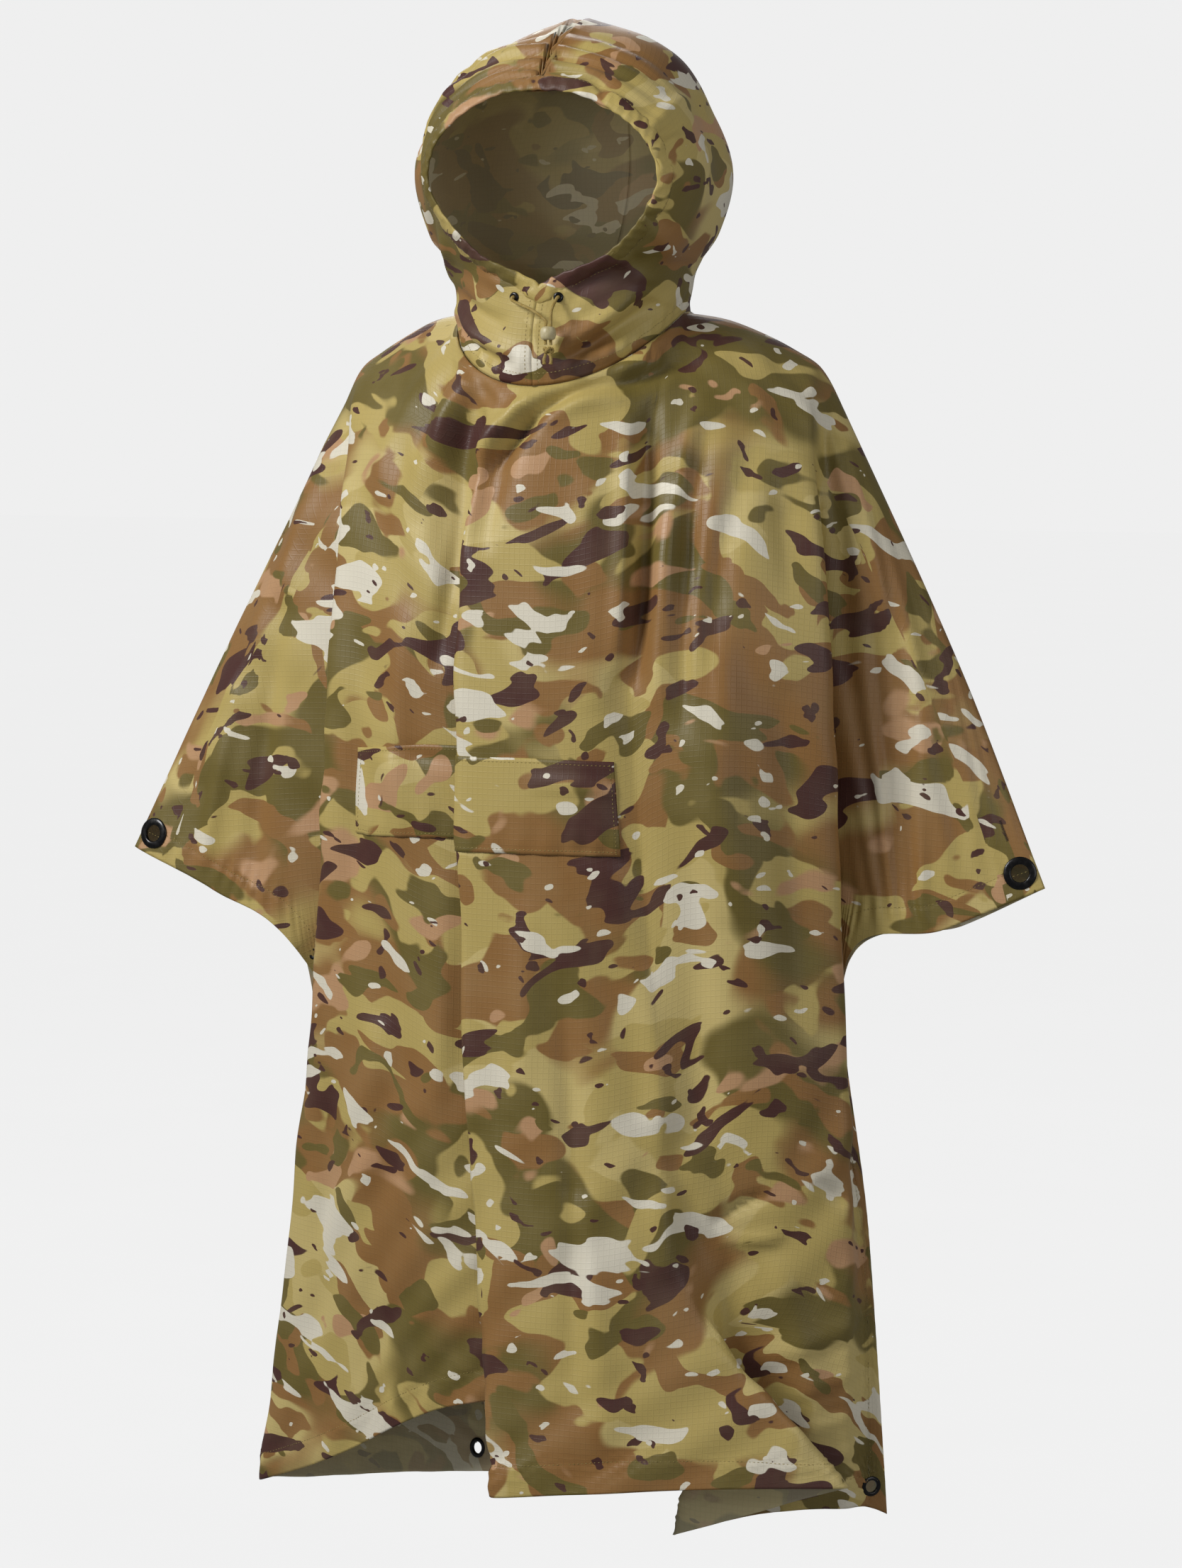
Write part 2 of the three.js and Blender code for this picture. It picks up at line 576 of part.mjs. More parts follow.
// Drawcord: out of its eyelet, over the chin and down through the lock to the knot
function cordPath(side) {
  const start = cordEyelet(side);
  const bore = new THREE.Vector3(lock.x + (side * lock.boreApart) / 2, lock.y, lock.z);
  const out = (distance) => start.point.clone().addScaledVector(start.normal, distance);
  const entry = bore.z + lock.height / 2;
  return new THREE.CatmullRomCurve3([
    out(-0.5), out(3), out(6).add(new THREE.Vector3(side * -1.5, 0, -3)),
    new THREE.Vector3((start.point.x + 2 * bore.x) / 3, bore.y + 1, entry + 14),
    new THREE.Vector3(bore.x, bore.y, entry + 5),
    new THREE.Vector3(bore.x, bore.y, entry + 1),
    new THREE.Vector3(bore.x, bore.y, entry - 4),
    new THREE.Vector3(bore.x, bore.y, bore.z - lock.height / 2 - 2),
    new THREE.Vector3(bore.x, bore.y, bore.z - lock.height / 2 - knot.drop + knot.radius + 0.2),
  ], false, "centripetal");
}

function cordGeometry(side) {
  const section = new THREE.Shape();
  for (let k = 0; k < cord.sides; k += 1) {
    const angle = (2 * Math.PI * k) / cord.sides;
    const spot = [cord.radius * Math.cos(angle), cord.radius * Math.sin(angle)];
    if (k === 0) section.moveTo(...spot);
    else section.lineTo(...spot);
  }
  section.closePath();
  const options = { steps: cord.steps, extrudePath: cordPath(side), bevelEnabled: false };
  return new THREE.ExtrudeGeometry(section, options);
}

function lockGeometry() {
  const half = lock.height / 2;
  const r = lock.radius;
  const profile = [
    [0, -half], [r * 0.7, -half], [r * 0.96, -half * 0.55], [r, 0],
    [r * 0.96, half * 0.55], [r * 0.7, half], [0, half],
  ];
  const body = new THREE.LatheGeometry(profile.map(([x, y]) => new THREE.Vector2(x, y)), 16);
  laidAt(body, new THREE.Vector3(lock.x, lock.y, lock.z), new THREE.Vector3(0, 0, 1));
  const bores = [-1, 1].map((side) => {
    const bore = new THREE.CylinderGeometry(lock.boreRadius, lock.boreRadius, lock.height * 2, 12);
    const place = new THREE.Vector3(lock.x + (side * lock.boreApart) / 2, lock.y, lock.z);
    return laidAt(bore, place, new THREE.Vector3(0, 0, 1));
  });
  return cutHoles(body, bores);
}

function knotGeometry() {
  const ball = new THREE.SphereGeometry(1, 12, 8);
  ball.scale(knot.radius * 1.35, knot.radius, knot.radius);
  const top = lock.z - lock.height / 2 - knot.drop;
  return ball.translate(lock.x, lock.y, top);
}

function snapGeometry(side) {
  const half = snap.height / 2;
  const r = snap.radius;
  const profile = [
    [0, -half], [r * 0.8, -half], [r, -half * 0.8], [r, half * 0.75], [r * 0.75, half], [0, half],
  ].map(([x, y]) => new THREE.Vector2(x, y));
  const place = snapPlace(side);
  return laidAt(new THREE.LatheGeometry(profile, snap.sides), place.point, place.normal);
}

const poncho = new THREE.Group();

function addPiece(name, geometry, color, roughness, metalness = 0) {
  const mesh = new THREE.Mesh(geometry, new THREE.MeshStandardMaterial({ color, roughness, metalness }));
  mesh.name = name;
  poncho.add(mesh);
}

addPiece("front_panel", panelWithHoles("front", frontPanel), colours.cloth, 0.55);
addPiece("back_panel", panelWithHoles("back", backPanel), colours.cloth, 0.55);
[["left", 1], ["right", -1]].forEach(([label, side]) => {
  const size = eyeletSizes.cord;
  const place = cordEyelet(side);
  addPiece(`hood_${label}`, cutHoles(hoodGeometry(side), [cutterFor(size, place)]), colours.cloth, 0.55);
  addPiece(`cord_eyelet_${label}`, eyeletGeometry(size, place), colours.black, 0.35, 0.6);
  addPiece(`drawcord_${label}`, cordGeometry(side), colours.cord, 0.85);
  addPiece(`snap_${label}`, snapGeometry(side), colours.black, 0.4, 0.6);
});
eyelets.forEach((row) => addPiece(row.name, eyeletGeometry(row.size, row.place), colours.black, 0.35, 0.6));
addPiece("pocket_flap", flapGeometry(), colours.cloth, 0.55);
addPiece("cord_lock", lockGeometry(), colours.lock, 0.5);
addPiece("cord_knot", knotGeometry(), colours.cord, 0.85);

export default poncho;
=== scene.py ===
import math

import bmesh
import bpy
import numpy as np
from mathutils import Matrix, Vector


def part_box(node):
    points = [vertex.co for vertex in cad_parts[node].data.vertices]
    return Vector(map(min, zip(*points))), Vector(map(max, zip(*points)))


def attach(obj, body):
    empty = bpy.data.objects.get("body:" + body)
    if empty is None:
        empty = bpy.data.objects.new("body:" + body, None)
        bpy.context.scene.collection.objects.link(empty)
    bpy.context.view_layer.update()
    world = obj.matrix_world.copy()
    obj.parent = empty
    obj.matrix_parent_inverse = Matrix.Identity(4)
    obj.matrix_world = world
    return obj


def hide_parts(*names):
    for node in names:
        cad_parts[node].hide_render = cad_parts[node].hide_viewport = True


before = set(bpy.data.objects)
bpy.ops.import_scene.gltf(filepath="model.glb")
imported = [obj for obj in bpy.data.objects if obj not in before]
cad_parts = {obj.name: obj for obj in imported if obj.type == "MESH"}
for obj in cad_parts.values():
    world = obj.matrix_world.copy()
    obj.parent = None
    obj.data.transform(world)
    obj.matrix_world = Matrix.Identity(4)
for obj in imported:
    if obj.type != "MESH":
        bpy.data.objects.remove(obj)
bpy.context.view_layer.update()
scene = bpy.context.scene
mm = 0.001

print("stage: camera")
view = {"azimuth": 20, "distance": 3.7, "aside": 0.0076, "height": -0.013, "tilt": 6.17, "lens": 120.98}


def addCamera():
    turn = math.radians(view["azimuth"])
    data = bpy.data.cameras.new("photoCamera")
    data.lens, data.sensor_width, data.sensor_fit = view["lens"], 36, "HORIZONTAL"
    data.clip_end = 200
    camera = bpy.data.objects.new("photoCamera", data)
    away, aside = view["distance"], view["aside"]
    camera.location = (away * math.sin(turn) + aside * math.cos(turn),
                       -away * math.cos(turn) + aside * math.sin(turn), view["height"])
    camera.rotation_euler = (math.radians(90 - view["tilt"]), 0, turn)
    scene.collection.objects.link(camera)
    scene.camera = camera


addCamera()

print("stage: materials")


def srgb(red, green, blue):
    def linear(part):
        part /= 255
        return part / 12.92 if part <= 0.04045 else ((part + 0.055) / 1.055) ** 2.4
    return (linear(red), linear(green), linear(blue), 1)


def addNode(tree, kind, inputs=(), **settings):
    node = tree.nodes.new(kind)
    for name, value in settings.items():
        setattr(node, name, value)
    for socket, value in dict(inputs).items():
        if isinstance(value, bpy.types.NodeSocket):
            tree.links.new(value, node.inputs[socket])
        else:
            node.inputs[socket].default_value = value
    return node


def maths(tree, operation, first, second=0.0, third=0.0, clamp=False):
    inputs = {0: first, 1: second}
    if operation in ("MULTIPLY_ADD", "COMPARE", "SMOOTH_MIN", "SMOOTH_MAX"):
        inputs[2] = third
    return addNode(tree, "ShaderNodeMath", inputs, operation=operation, use_clamp=clamp).outputs[0]


def ramped(tree, value, low, high, toLow=0.0, toHigh=1.0):
    node = addNode(tree, "ShaderNodeMapRange", {"Value": value, "From Min": low, "From Max": high,
                                                "To Min": toLow, "To Max": toHigh})
    node.interpolation_type = "SMOOTHSTEP"
    return node.outputs["Result"]


def blended(tree, share, under, over, blend="MIX"):
    node = addNode(tree, "ShaderNodeMix", data_type="RGBA", blend_type=blend)
    for socket, value in ((0, share), (6, under), (7, over)):
        if isinstance(value, bpy.types.NodeSocket):
            tree.links.new(value, node.inputs[socket])
        else:
            node.inputs[socket].default_value = value
    return node.outputs[2]


def noise(tree, vector, scale, detail=2.0, rough=0.5, distort=0.0):
    return addNode(tree, "ShaderNodeTexNoise", {"Vector": vector, "Scale": scale, "Detail": detail,
                                                "Roughness": rough, "Distortion": distort})


def newGroup(name, inputs, outputs):
    group = bpy.data.node_groups.new(name, "ShaderNodeTree")
    for socket, kind, value in inputs:
        made = group.interface.new_socket(socket, in_out="INPUT", socket_type=kind)
        if value is not None:
            made.default_value = value
    for socket, kind in outputs:
        group.interface.new_socket(socket, in_out="OUTPUT", socket_type=kind)
    start = group.nodes.new("NodeGroupInput")
    end = group.nodes.new("NodeGroupOutput")
    return group, start.outputs, end.inputs


camouflage = {
    "khaki": srgb(186, 165, 97), "lightKhaki": srgb(201, 181, 117), "brown": srgb(146, 106, 58),
    "olive": srgb(110, 96, 44), "tan": srgb(188, 146, 106), "darkBrown": srgb(78, 46, 40),
    "cream": srgb(224, 217, 198),
    # The inside colour and its share: partly the paler back of the print, partly painted light shining
    # through the thin cloth
    "inside": srgb(238, 230, 196), "insideGlowShare": 0.45,
    "ripstop": 0.005, "grain": 2600, "hoodPlace": (0.4, 0.31, 0.9),
}

# Each layer of the print: colour, place of its noise, size per metre, how much longer than tall and its turn
# in degrees, wobble, level above which it prints, and how far one of its edges fades
printLayers = [
    ("lightKhaki", (3.1, 0.7, 0), 5.5, 1.3, 15, 0.2, 0.51, 0.10),
    ("brown", (11.3, 4.9, 2), 5.6, 1.25, -20, 0.3, 0.51, 0.12),
    ("olive", (23.7, 8.2, 5), 5.8, 1.3, 12, 0.3, 0.565, 0.13),
    ("khaki", (31.9, 2.6, 7), 10.0, 1.4, -10, 0.3, 0.565, 0.02),
    ("brown", (37.2, 1.3, 9), 13.0, 1.5, 18, 0.3, 0.60, 0.03),
    ("tan", (41.5, 9.9, 4), 12.0, 1.5, -14, 0.3, 0.66, 0.05),
    ("olive", (47.1, 3.7, 8), 14.0, 1.5, 10, 0.3, 0.622, 0.02),
    ("darkBrown", (53.6, 6.4, 1), 13.5, 1.9, -12, 0.45, 0.62, 0.0),
    ("cream", (61.8, 5.1, 3), 14.5, 2.0, 14, 0.4, 0.638, 0.0),
    ("darkBrown", (71.8, 2.1, 6), 30.0, 1.7, 20, 0.2, 0.68, 0.0),
    ("cream", (83.2, 7.5, 2), 32.0, 1.6, -16, 0.15, 0.70, 0.0),
]


def camouflageGroup():
    tree, given, put = newGroup("camouflagePrint", [("Vector", "NodeSocketVector", None)],
                                [("Color", "NodeSocketColor")])
    wobble = noise(tree, given["Vector"], 14, 2).outputs["Color"]
    centred = addNode(tree, "ShaderNodeVectorMath", {0: wobble, 1: (0.5, 0.5, 0.5)},
                      operation="SUBTRACT").outputs[0]
    warp = addNode(tree, "ShaderNodeVectorMath", {0: centred, "Scale": 0.022}, operation="SCALE").outputs[0]
    place = addNode(tree, "ShaderNodeVectorMath", {0: given["Vector"], 1: warp}, operation="ADD").outputs[0]
    fades = noise(tree, given["Vector"], 5, 1).outputs["Fac"]
    fade = ramped(tree, fades, 0.42, 0.62)
    colour = camouflage["khaki"]
    for name, offset, size, wide, turn, distort, level, soft in printLayers:
        spot = addNode(tree, "ShaderNodeMapping",
                       {"Vector": place, "Location": offset, "Scale": (1, 1 / wide, 1),
                        "Rotation": (0, 0, math.radians(turn))},
                       vector_type="TEXTURE")
        value = noise(tree, spot.outputs[0], size, 1.8, 0.45, distort).outputs["Fac"]
        low = maths(tree, "MULTIPLY_ADD", fade, -soft, level - 0.002)
        colour = blended(tree, ramped(tree, value, low, level + 0.004), colour, camouflage[name])
    tree.links.new(colour, put["Color"])
    return tree


def ripstopGroup():
    tree, given, put = newGroup("ripstopWeave",
                                [("Vector", "NodeSocketVector", None), ("Pitch", "NodeSocketFloat", 0.005)],
                                [("Height", "NodeSocketFloat"), ("Line", "NodeSocketFloat")])
    parts = addNode(tree, "ShaderNodeSeparateXYZ", {0: given["Vector"]}).outputs
    lines = []
    for axis in (0, 1):
        cell = maths(tree, "FRACT", maths(tree, "DIVIDE", parts[axis], given["Pitch"]))
        lines.append(ramped(tree, maths(tree, "ABSOLUTE", maths(tree, "SUBTRACT", cell, 0.5)), 0.38, 0.5))
    line = maths(tree, "MAXIMUM", lines[0], lines[1])
    grain = noise(tree, given["Vector"], camouflage["grain"], 1).outputs["Fac"]
    tree.links.new(maths(tree, "MULTIPLY_ADD", grain, 0.35, line), put["Height"])
    tree.links.new(line, put["Line"])
    return tree


def wearGroup():
    tree, given, put = newGroup("handlingWear",
                                [("Vector", "NodeSocketVector", None), ("Scale", "NodeSocketFloat", 20)],
                                [("Mask", "NodeSocketFloat"), ("Roughness", "NodeSocketFloat")])
    broad = noise(tree, given["Vector"], given["Scale"], 3, 0.6).outputs["Fac"]
    tree.links.new(ramped(tree, broad, 0.35, 0.75), put["Mask"])
    tree.links.new(ramped(tree, broad, 0.25, 0.75, -0.05, 0.06), put["Roughness"])
    return tree


printGroup, weaveGroup, wornGroup = camouflageGroup(), ripstopGroup(), wearGroup()


def useGroup(tree, group, inputs):
    node = addNode(tree, "ShaderNodeGroup")
    node.node_tree = group
    for socket, value in inputs.items():
        if isinstance(value, bpy.types.NodeSocket):
            tree.links.new(value, node.inputs[socket])
        else:
            node.inputs[socket].default_value = value
    return node.outputs


def newMaterial(name):
    material = bpy.data.materials.new(name)
    material.use_nodes = True
    tree = material.node_tree
    return material, tree, tree.nodes["Principled BSDF"]


def uvVector(tree):
    return addNode(tree, "ShaderNodeUVMap", uv_map="clothMap").outputs[0]


def objectVector(tree):
    return addNode(tree, "ShaderNodeTexCoord").outputs["Object"]


# The hood's print is laid in space, level all round, so that it runs on over the crown
def hoodVector(tree):
    parts = addNode(tree, "ShaderNodeSeparateXYZ", {0: objectVector(tree)}).outputs
    level = addNode(tree, "ShaderNodeCombineXYZ", {0: parts[0], 1: parts[2], 2: parts[1]}).outputs[0]
    return addNode(tree, "ShaderNodeMapping", {"Vector": level, "Location": camouflage["hoodPlace"],
                                               "Scale": (1.2, 1.2, 1.2)}).outputs[0]


def clothMaterial(name, paler, onHood):
    material, tree, shader = newMaterial(name)
    vector = uvVector(tree)
    place = hoodVector(tree) if onHood else vector
    colour = useGroup(tree, printGroup, {"Vector": place})["Color"]
    weave = useGroup(tree, weaveGroup, {"Vector": vector, "Pitch": camouflage["ripstop"]})
    worn = useGroup(tree, wornGroup, {"Vector": vector, "Scale": 16})
    # The inner face is blended towards the pale inside colour: partly the paler back of the print, partly
    # painted light shining through the thin cloth
    if paler:
        colour = blended(tree, camouflage["insideGlowShare"], colour, camouflage["inside"])
    shade = maths(tree, "MULTIPLY", weave["Line"], 0.05)
    colour = blended(tree, shade, colour, (0.02, 0.018, 0.01, 1))
    dusty = maths(tree, "MULTIPLY", worn["Mask"], 0.06)
    colour = blended(tree, dusty, colour, srgb(205, 190, 140))
    tree.links.new(colour, shader.inputs["Base Color"])
    tree.links.new(maths(tree, "ADD", worn["Roughness"], 0.6 if paler else 0.47), shader.inputs["Roughness"])
    shader.inputs["Sheen Weight"].default_value = 0.04
    shader.inputs["Sheen Roughness"].default_value = 0.35
    shader.inputs["Specular IOR Level"].default_value = 0.25 if paler else 0.38
    bump = addNode(tree, "ShaderNodeBump", {"Height": weave["Height"], "Strength": 0.25, "Distance": 0.0004})
    tree.links.new(bump.outputs[0], shader.inputs["Normal"])
    return material


def metalMaterial():
    material, tree, shader = newMaterial("blackEnamel")
    vector = objectVector(tree)
    worn = useGroup(tree, wornGroup, {"Vector": vector, "Scale": 180})
    colour = blended(tree, maths(tree, "MULTIPLY", worn["Mask"], 0.35), srgb(20, 20, 22), srgb(66, 64, 62))
    tree.links.new(colour, shader.inputs["Base Color"])
    tree.links.new(maths(tree, "ADD", worn["Roughness"], 0.32), shader.inputs["Roughness"])
    shader.inputs["Metallic"].default_value = 0.75
    shader.inputs["Coat Weight"].default_value = 0.25
    fine = noise(tree, vector, 900, 2).outputs["Fac"]
    bump = addNode(tree, "ShaderNodeBump", {"Height": fine, "Strength": 0.12, "Distance": 0.0002})
    tree.links.new(bump.outputs[0], shader.inputs["Normal"])
    return material


def cordMaterial():
    material, tree, shader = newMaterial("braidedCord")
    parts = addNode(tree, "ShaderNodeSeparateXYZ", {0: uvVector(tree)}).outputs
    strands = []
    for lean in (1, -1):
        slant = maths(tree, "MULTIPLY_ADD", parts[0], 8 * lean, maths(tree, "MULTIPLY", parts[1], 560))
        strands.append(maths(tree, "ABSOLUTE", maths(tree, "SINE", maths(tree, "MULTIPLY", slant, math.pi))))
    height = maths(tree, "MINIMUM", strands[0], strands[1])
    worn = useGroup(tree, wornGroup, {"Vector": objectVector(tree), "Scale": 260})
    # Painted shade: the braid is coloured darker down in the grooves between strands and lighter on the
    # strand crowns, following the same height as its bump
    colour = blended(tree, height, srgb(120, 96, 44), srgb(196, 168, 88))
    colour = blended(tree, maths(tree, "MULTIPLY", worn["Mask"], 0.3), colour, srgb(214, 196, 140))
    tree.links.new(colour, shader.inputs["Base Color"])
    shader.inputs["Roughness"].default_value = 0.78
    bump = addNode(tree, "ShaderNodeBump", {"Height": height, "Strength": 0.7, "Distance": 0.0004})
    tree.links.new(bump.outputs[0], shader.inputs["Normal"])
    return material


def plasticMaterial():
    material, tree, shader = newMaterial("lockPlastic")
    vector = objectVector(tree)
    worn = useGroup(tree, wornGroup, {"Vector": vector, "Scale": 220})
    colour = blended(tree, worn["Mask"], srgb(196, 184, 146), srgb(176, 162, 120))
    tree.links.new(colour, shader.inputs["Base Color"])
    tree.links.new(maths(tree, "ADD", worn["Roughness"], 0.42), shader.inputs["Roughness"])
    fine = noise(tree, vector, 1400, 2).outputs["Fac"]
    bump = addNode(tree, "ShaderNodeBump", {"Height": fine, "Strength": 0.2, "Distance": 0.0002})
    tree.links.new(bump.outputs[0], shader.inputs["Normal"])
    return material


def threadMaterial(name, dark, light):
    material, tree, shader = newMaterial(name)
    vector = objectVector(tree)
    worn = useGroup(tree, wornGroup, {"Vector": vector, "Scale": 90})
    colour = blended(tree, worn["Mask"], srgb(*dark), srgb(*light))
    tree.links.new(colour, shader.inputs["Base Color"])
    tree.links.new(maths(tree, "ADD", worn["Roughness"], 0.6), shader.inputs["Roughness"])
    twist = noise(tree, vector, 3000, 1).outputs["Fac"]
    bump = addNode(tree, "ShaderNodeBump", {"Height": twist, "Strength": 0.3, "Distance": 0.0002})
    tree.links.new(bump.outputs[0], shader.inputs["Normal"])
    return material


clothOutside = clothMaterial("camouflageCloth", False, False)
clothInside = clothMaterial("camouflageClothInside", True, False)
hoodOutside = clothMaterial("camouflageHood", False, True)
hoodInside = clothMaterial("camouflageHoodInside", True, True)
blackEnamel, braidedCord = metalMaterial(), cordMaterial()
lockPlastic = plasticMaterial()
sewingThread = threadMaterial("sewingThread", (150, 132, 74), (176, 158, 98))
tackThread = threadMaterial("tackThread", (52, 36, 30), (74, 54, 42))

print("stage: cloth shape")
neck = {"halfWidth": 105, "middleY": -20, "frontDepth": 110, "backDepth": 100, "sideZ": 26, "frontDrop": 66,
        "frontPower": 1.3, "backRise": 4, "quarterLength": 160, "bodyOut": 1.9, "bodyDown": 0.8}
pleats = {"gap": 14, "reach": 22, "tip": 2, "ridge": 0.55, "seamGap": 0.3}
armLine = {"along": (160, 198, 234, 265, 292, 331, 596, 800),
           "x": (106.6, 143, 176, 203, 226, 246, 367, 451),
           "y": (-20, -8, 4, 11, 15, 16, -4, -32),
           "z": (25.4, 19, 5.5, -9, -25, -60, -300, -487)}
levels = (0, 0.22, 0.52, 0.78, 1)

# Folds from the centre outwards: along, turn, then the places at chest, sleeve, low and hem in millimetres
frontSheet = {
    "facing": -1,
    "centre": (0, 0, (15, -168, -224), (20, -184, -593), (41, -204, -828), (82, -218, -1028)),
    "left": [
        (30, 1, (-62, -162, -224), (-53, -180, -593), (-35, -195, -825), (-12, -216, -1040)),
        (50, 1, (-32, -138, -221), (-16, -150, -583), (6, -159, -805), (41, -166, -960)),
        (100, 0, (-100, -140, -214), (-106, -148, -583), (-97, -153, -799), (-92, -144, -975)),
        (200, 0, (-160, -118, -224), (-172, -119, -583), (-193, -110, -810), (-210, -90, -1056)),
        (280, 1, (-212, -98, -239), (-239, -89, -575), (-279, -56, -822), (-330, -21, -1108)),
        (310, 1, (-188, -68, -261), (-198, -63, -563), (-232, -37, -816), (-262, -4, -1102)),
        (560, 0, (-300, -48, -343), (-233, -51, -569), (-212, -12, -810), (-174, -23, -1084)),
        (800, 0, (-364, -44, -523), (-265, -53, -583), (-152, 4, -812), (-64, -64, -1062)),
    ],
    "right": [
        (75, 0, (62, -158, -224), (86, -172, -593), (107, -188, -828), (195, -193, -1018)),
        (120, 1, (92, -142, -224), (121, -150, -591), (149, -165, -825), (306, -133, -1022)),
        (145, 1, (108, -138, -224), (140, -147, -589), (187, -128, -822), (133, -133, -1084)),
        (205, 0, (170, -140, -227), (210, -140, -589), (244, -110, -822), (221, -103, -1060)),
        (285, 1, (264, -78, -239), (283, -83, -575), (291, -86, -820), (283, -76, -1060)),
        (315, 1, (236, -50, -257), (243, -53, -568), (289, -63, -818), (295, -62, -1060)),
        (560, 0, (305, -46, -348), (259, -51, -573), (293, -53, -814), (305, -54, -1064)),
        (800, 0, (364, -45, -526), (271, -51, -566), (293, -43, -812), (314, -47, -1070)),
    ],
}
backSheet = {
    "facing": 1,
    "centre": (0, 0, (0, 118, -229), (0, 144, -593), (-4, 163, -830), (-8, 183, -1077)),
    "left": [
        (30, 1, (-36, 128, -227), (-47, 170, -593), (-59, 195, -828), (-72, 220, -1081)),
        (50, 1, (-60, 126, -225), (-73, 148, -591), (-86, 163, -826), (-98, 176, -1077)),
        (100, 0, (-110, 126, -221), (-129, 168, -589), (-153, 187, -826), (-172, 207, -1081)),
        (200, 0, (-170, 104, -227), (-192, 117, -587), (-218, 126, -822), (-242, 135, -1077)),
        (280, 1, (-228, 62, -239), (-247, 71, -577), (-273, 79, -820), (-300, 86, -1079)),
        (310, 1, (-200, 30, -259), (-208, 34, -569), (-248, 51, -816), (-283, 60, -1075)),
        (560, 0, (-302, 26, -343), (-235, -32, -575), (-257, 26, -812), (-291, 41, -1073)),
        (800, 0, (-366, 8, -527), (-265, -47.0, -583), (-267, -4, -810), (-298, 23, -1071)),
    ],
    "right": [
        (75, 0, (70, 132, -225), (79, 154, -591), (90, 169, -828), (103, 185, -1075)),
        (120, 1, (104, 132, -223), (123, 174, -591), (149, 200, -826), (174, 220, -1081)),
        (145, 1, (126, 124, -223), (144, 148, -589), (167, 163, -824), (185, 176, -1077)),
        (205, 0, (170, 106, -225), (182, 131, -587), (200, 145, -822), (218, 154, -1081)),
        (285, 1, (236, 48, -239), (227, 57, -577), (236, 71, -820), (256, 84, -1081)),
        (315, 1, (208, 22, -257), (198, 26, -569), (216, 45, -816), (238, 57, -1077)),
        (560, 0, (304, 24, -348), (241, -32, -575), (265, 14, -812), (287, 23, -1075)),
        (800, 0, (366, 8, -530), (271, -45, -566), (279, -12, -810), (295, 4, -1073)),
    ],
}


def through(knots, values, t):
    knots, values, t = np.array(knots, float), np.array(values, float), np.asarray(t, float)
    last = len(knots) - 1
    before, after = np.maximum(np.arange(last + 1) - 1, 0), np.minimum(np.arange(last + 1) + 1, last)
    slopes = (values[after] - values[before]) / (knots[after] - knots[before])
    i = np.clip(np.searchsorted(knots, t, side="left") - 1, 0, last - 1)
    span = knots[i + 1] - knots[i]
    s = np.clip((t - knots[i]) / span, 0, 1)
    return ((2 * s ** 3 - 3 * s ** 2 + 1) * values[i] + (s ** 3 - 2 * s ** 2 + s) * span * slopes[i]
            + (3 * s ** 2 - 2 * s ** 3) * values[i + 1] + (s ** 3 - s ** 2) * span * slopes[i + 1])


def neckRing(angle, side, out, down):
    ahead = np.cos(angle)
    depth = np.where(ahead > 0, neck["frontDepth"], neck["backDepth"])
    drop = np.where(ahead > 0, neck["frontDrop"] * np.maximum(ahead, 0) ** neck["frontPower"],
                    neck["backRise"] * ahead)
    return np.stack([side * (neck["halfWidth"] + out) * np.sin(angle),
                     neck["middleY"] - (depth + out) * ahead,
                     neck["sideZ"] - drop - down], -1)


def carryingLine(along, side, facing):
    along = np.asarray(along, float)
    share = np.minimum(along, neck["quarterLength"]) / neck["quarterLength"]
    quarter = math.pi / 2 * share
    onNeck = neckRing(quarter if facing < 0 else math.pi - quarter, side, neck["bodyOut"], neck["bodyDown"])
    onNeck[..., 1] += facing * pleats["seamGap"] / 2 * share
    onArm = np.stack([side * through(armLine["along"], armLine["x"], along),
                      through(armLine["along"], armLine["y"], along) + facing * pleats["seamGap"] / 2,
                      through(armLine["along"], armLine["z"], along)], -1)
    return np.where((along <= neck["quarterLength"])[..., None], onNeck, onArm)


def foldLine(row, side, facing, drops):
    top = carryingLine(np.array([row[0]]), side, facing)[0]
    chest = levels[1]
    rounded = np.where(drops < chest, chest * (drops / chest) ** pleats["ridge"], drops)
    columns = np.array([top, *row[2:]])
    return np.stack([through(levels, columns[:, 0], drops), through(levels, columns[:, 1], rounded),
                     through(levels, columns[:, 2], drops)], -1)


def lengthOf(vectors):
    return np.linalg.norm(vectors, axis=-1)


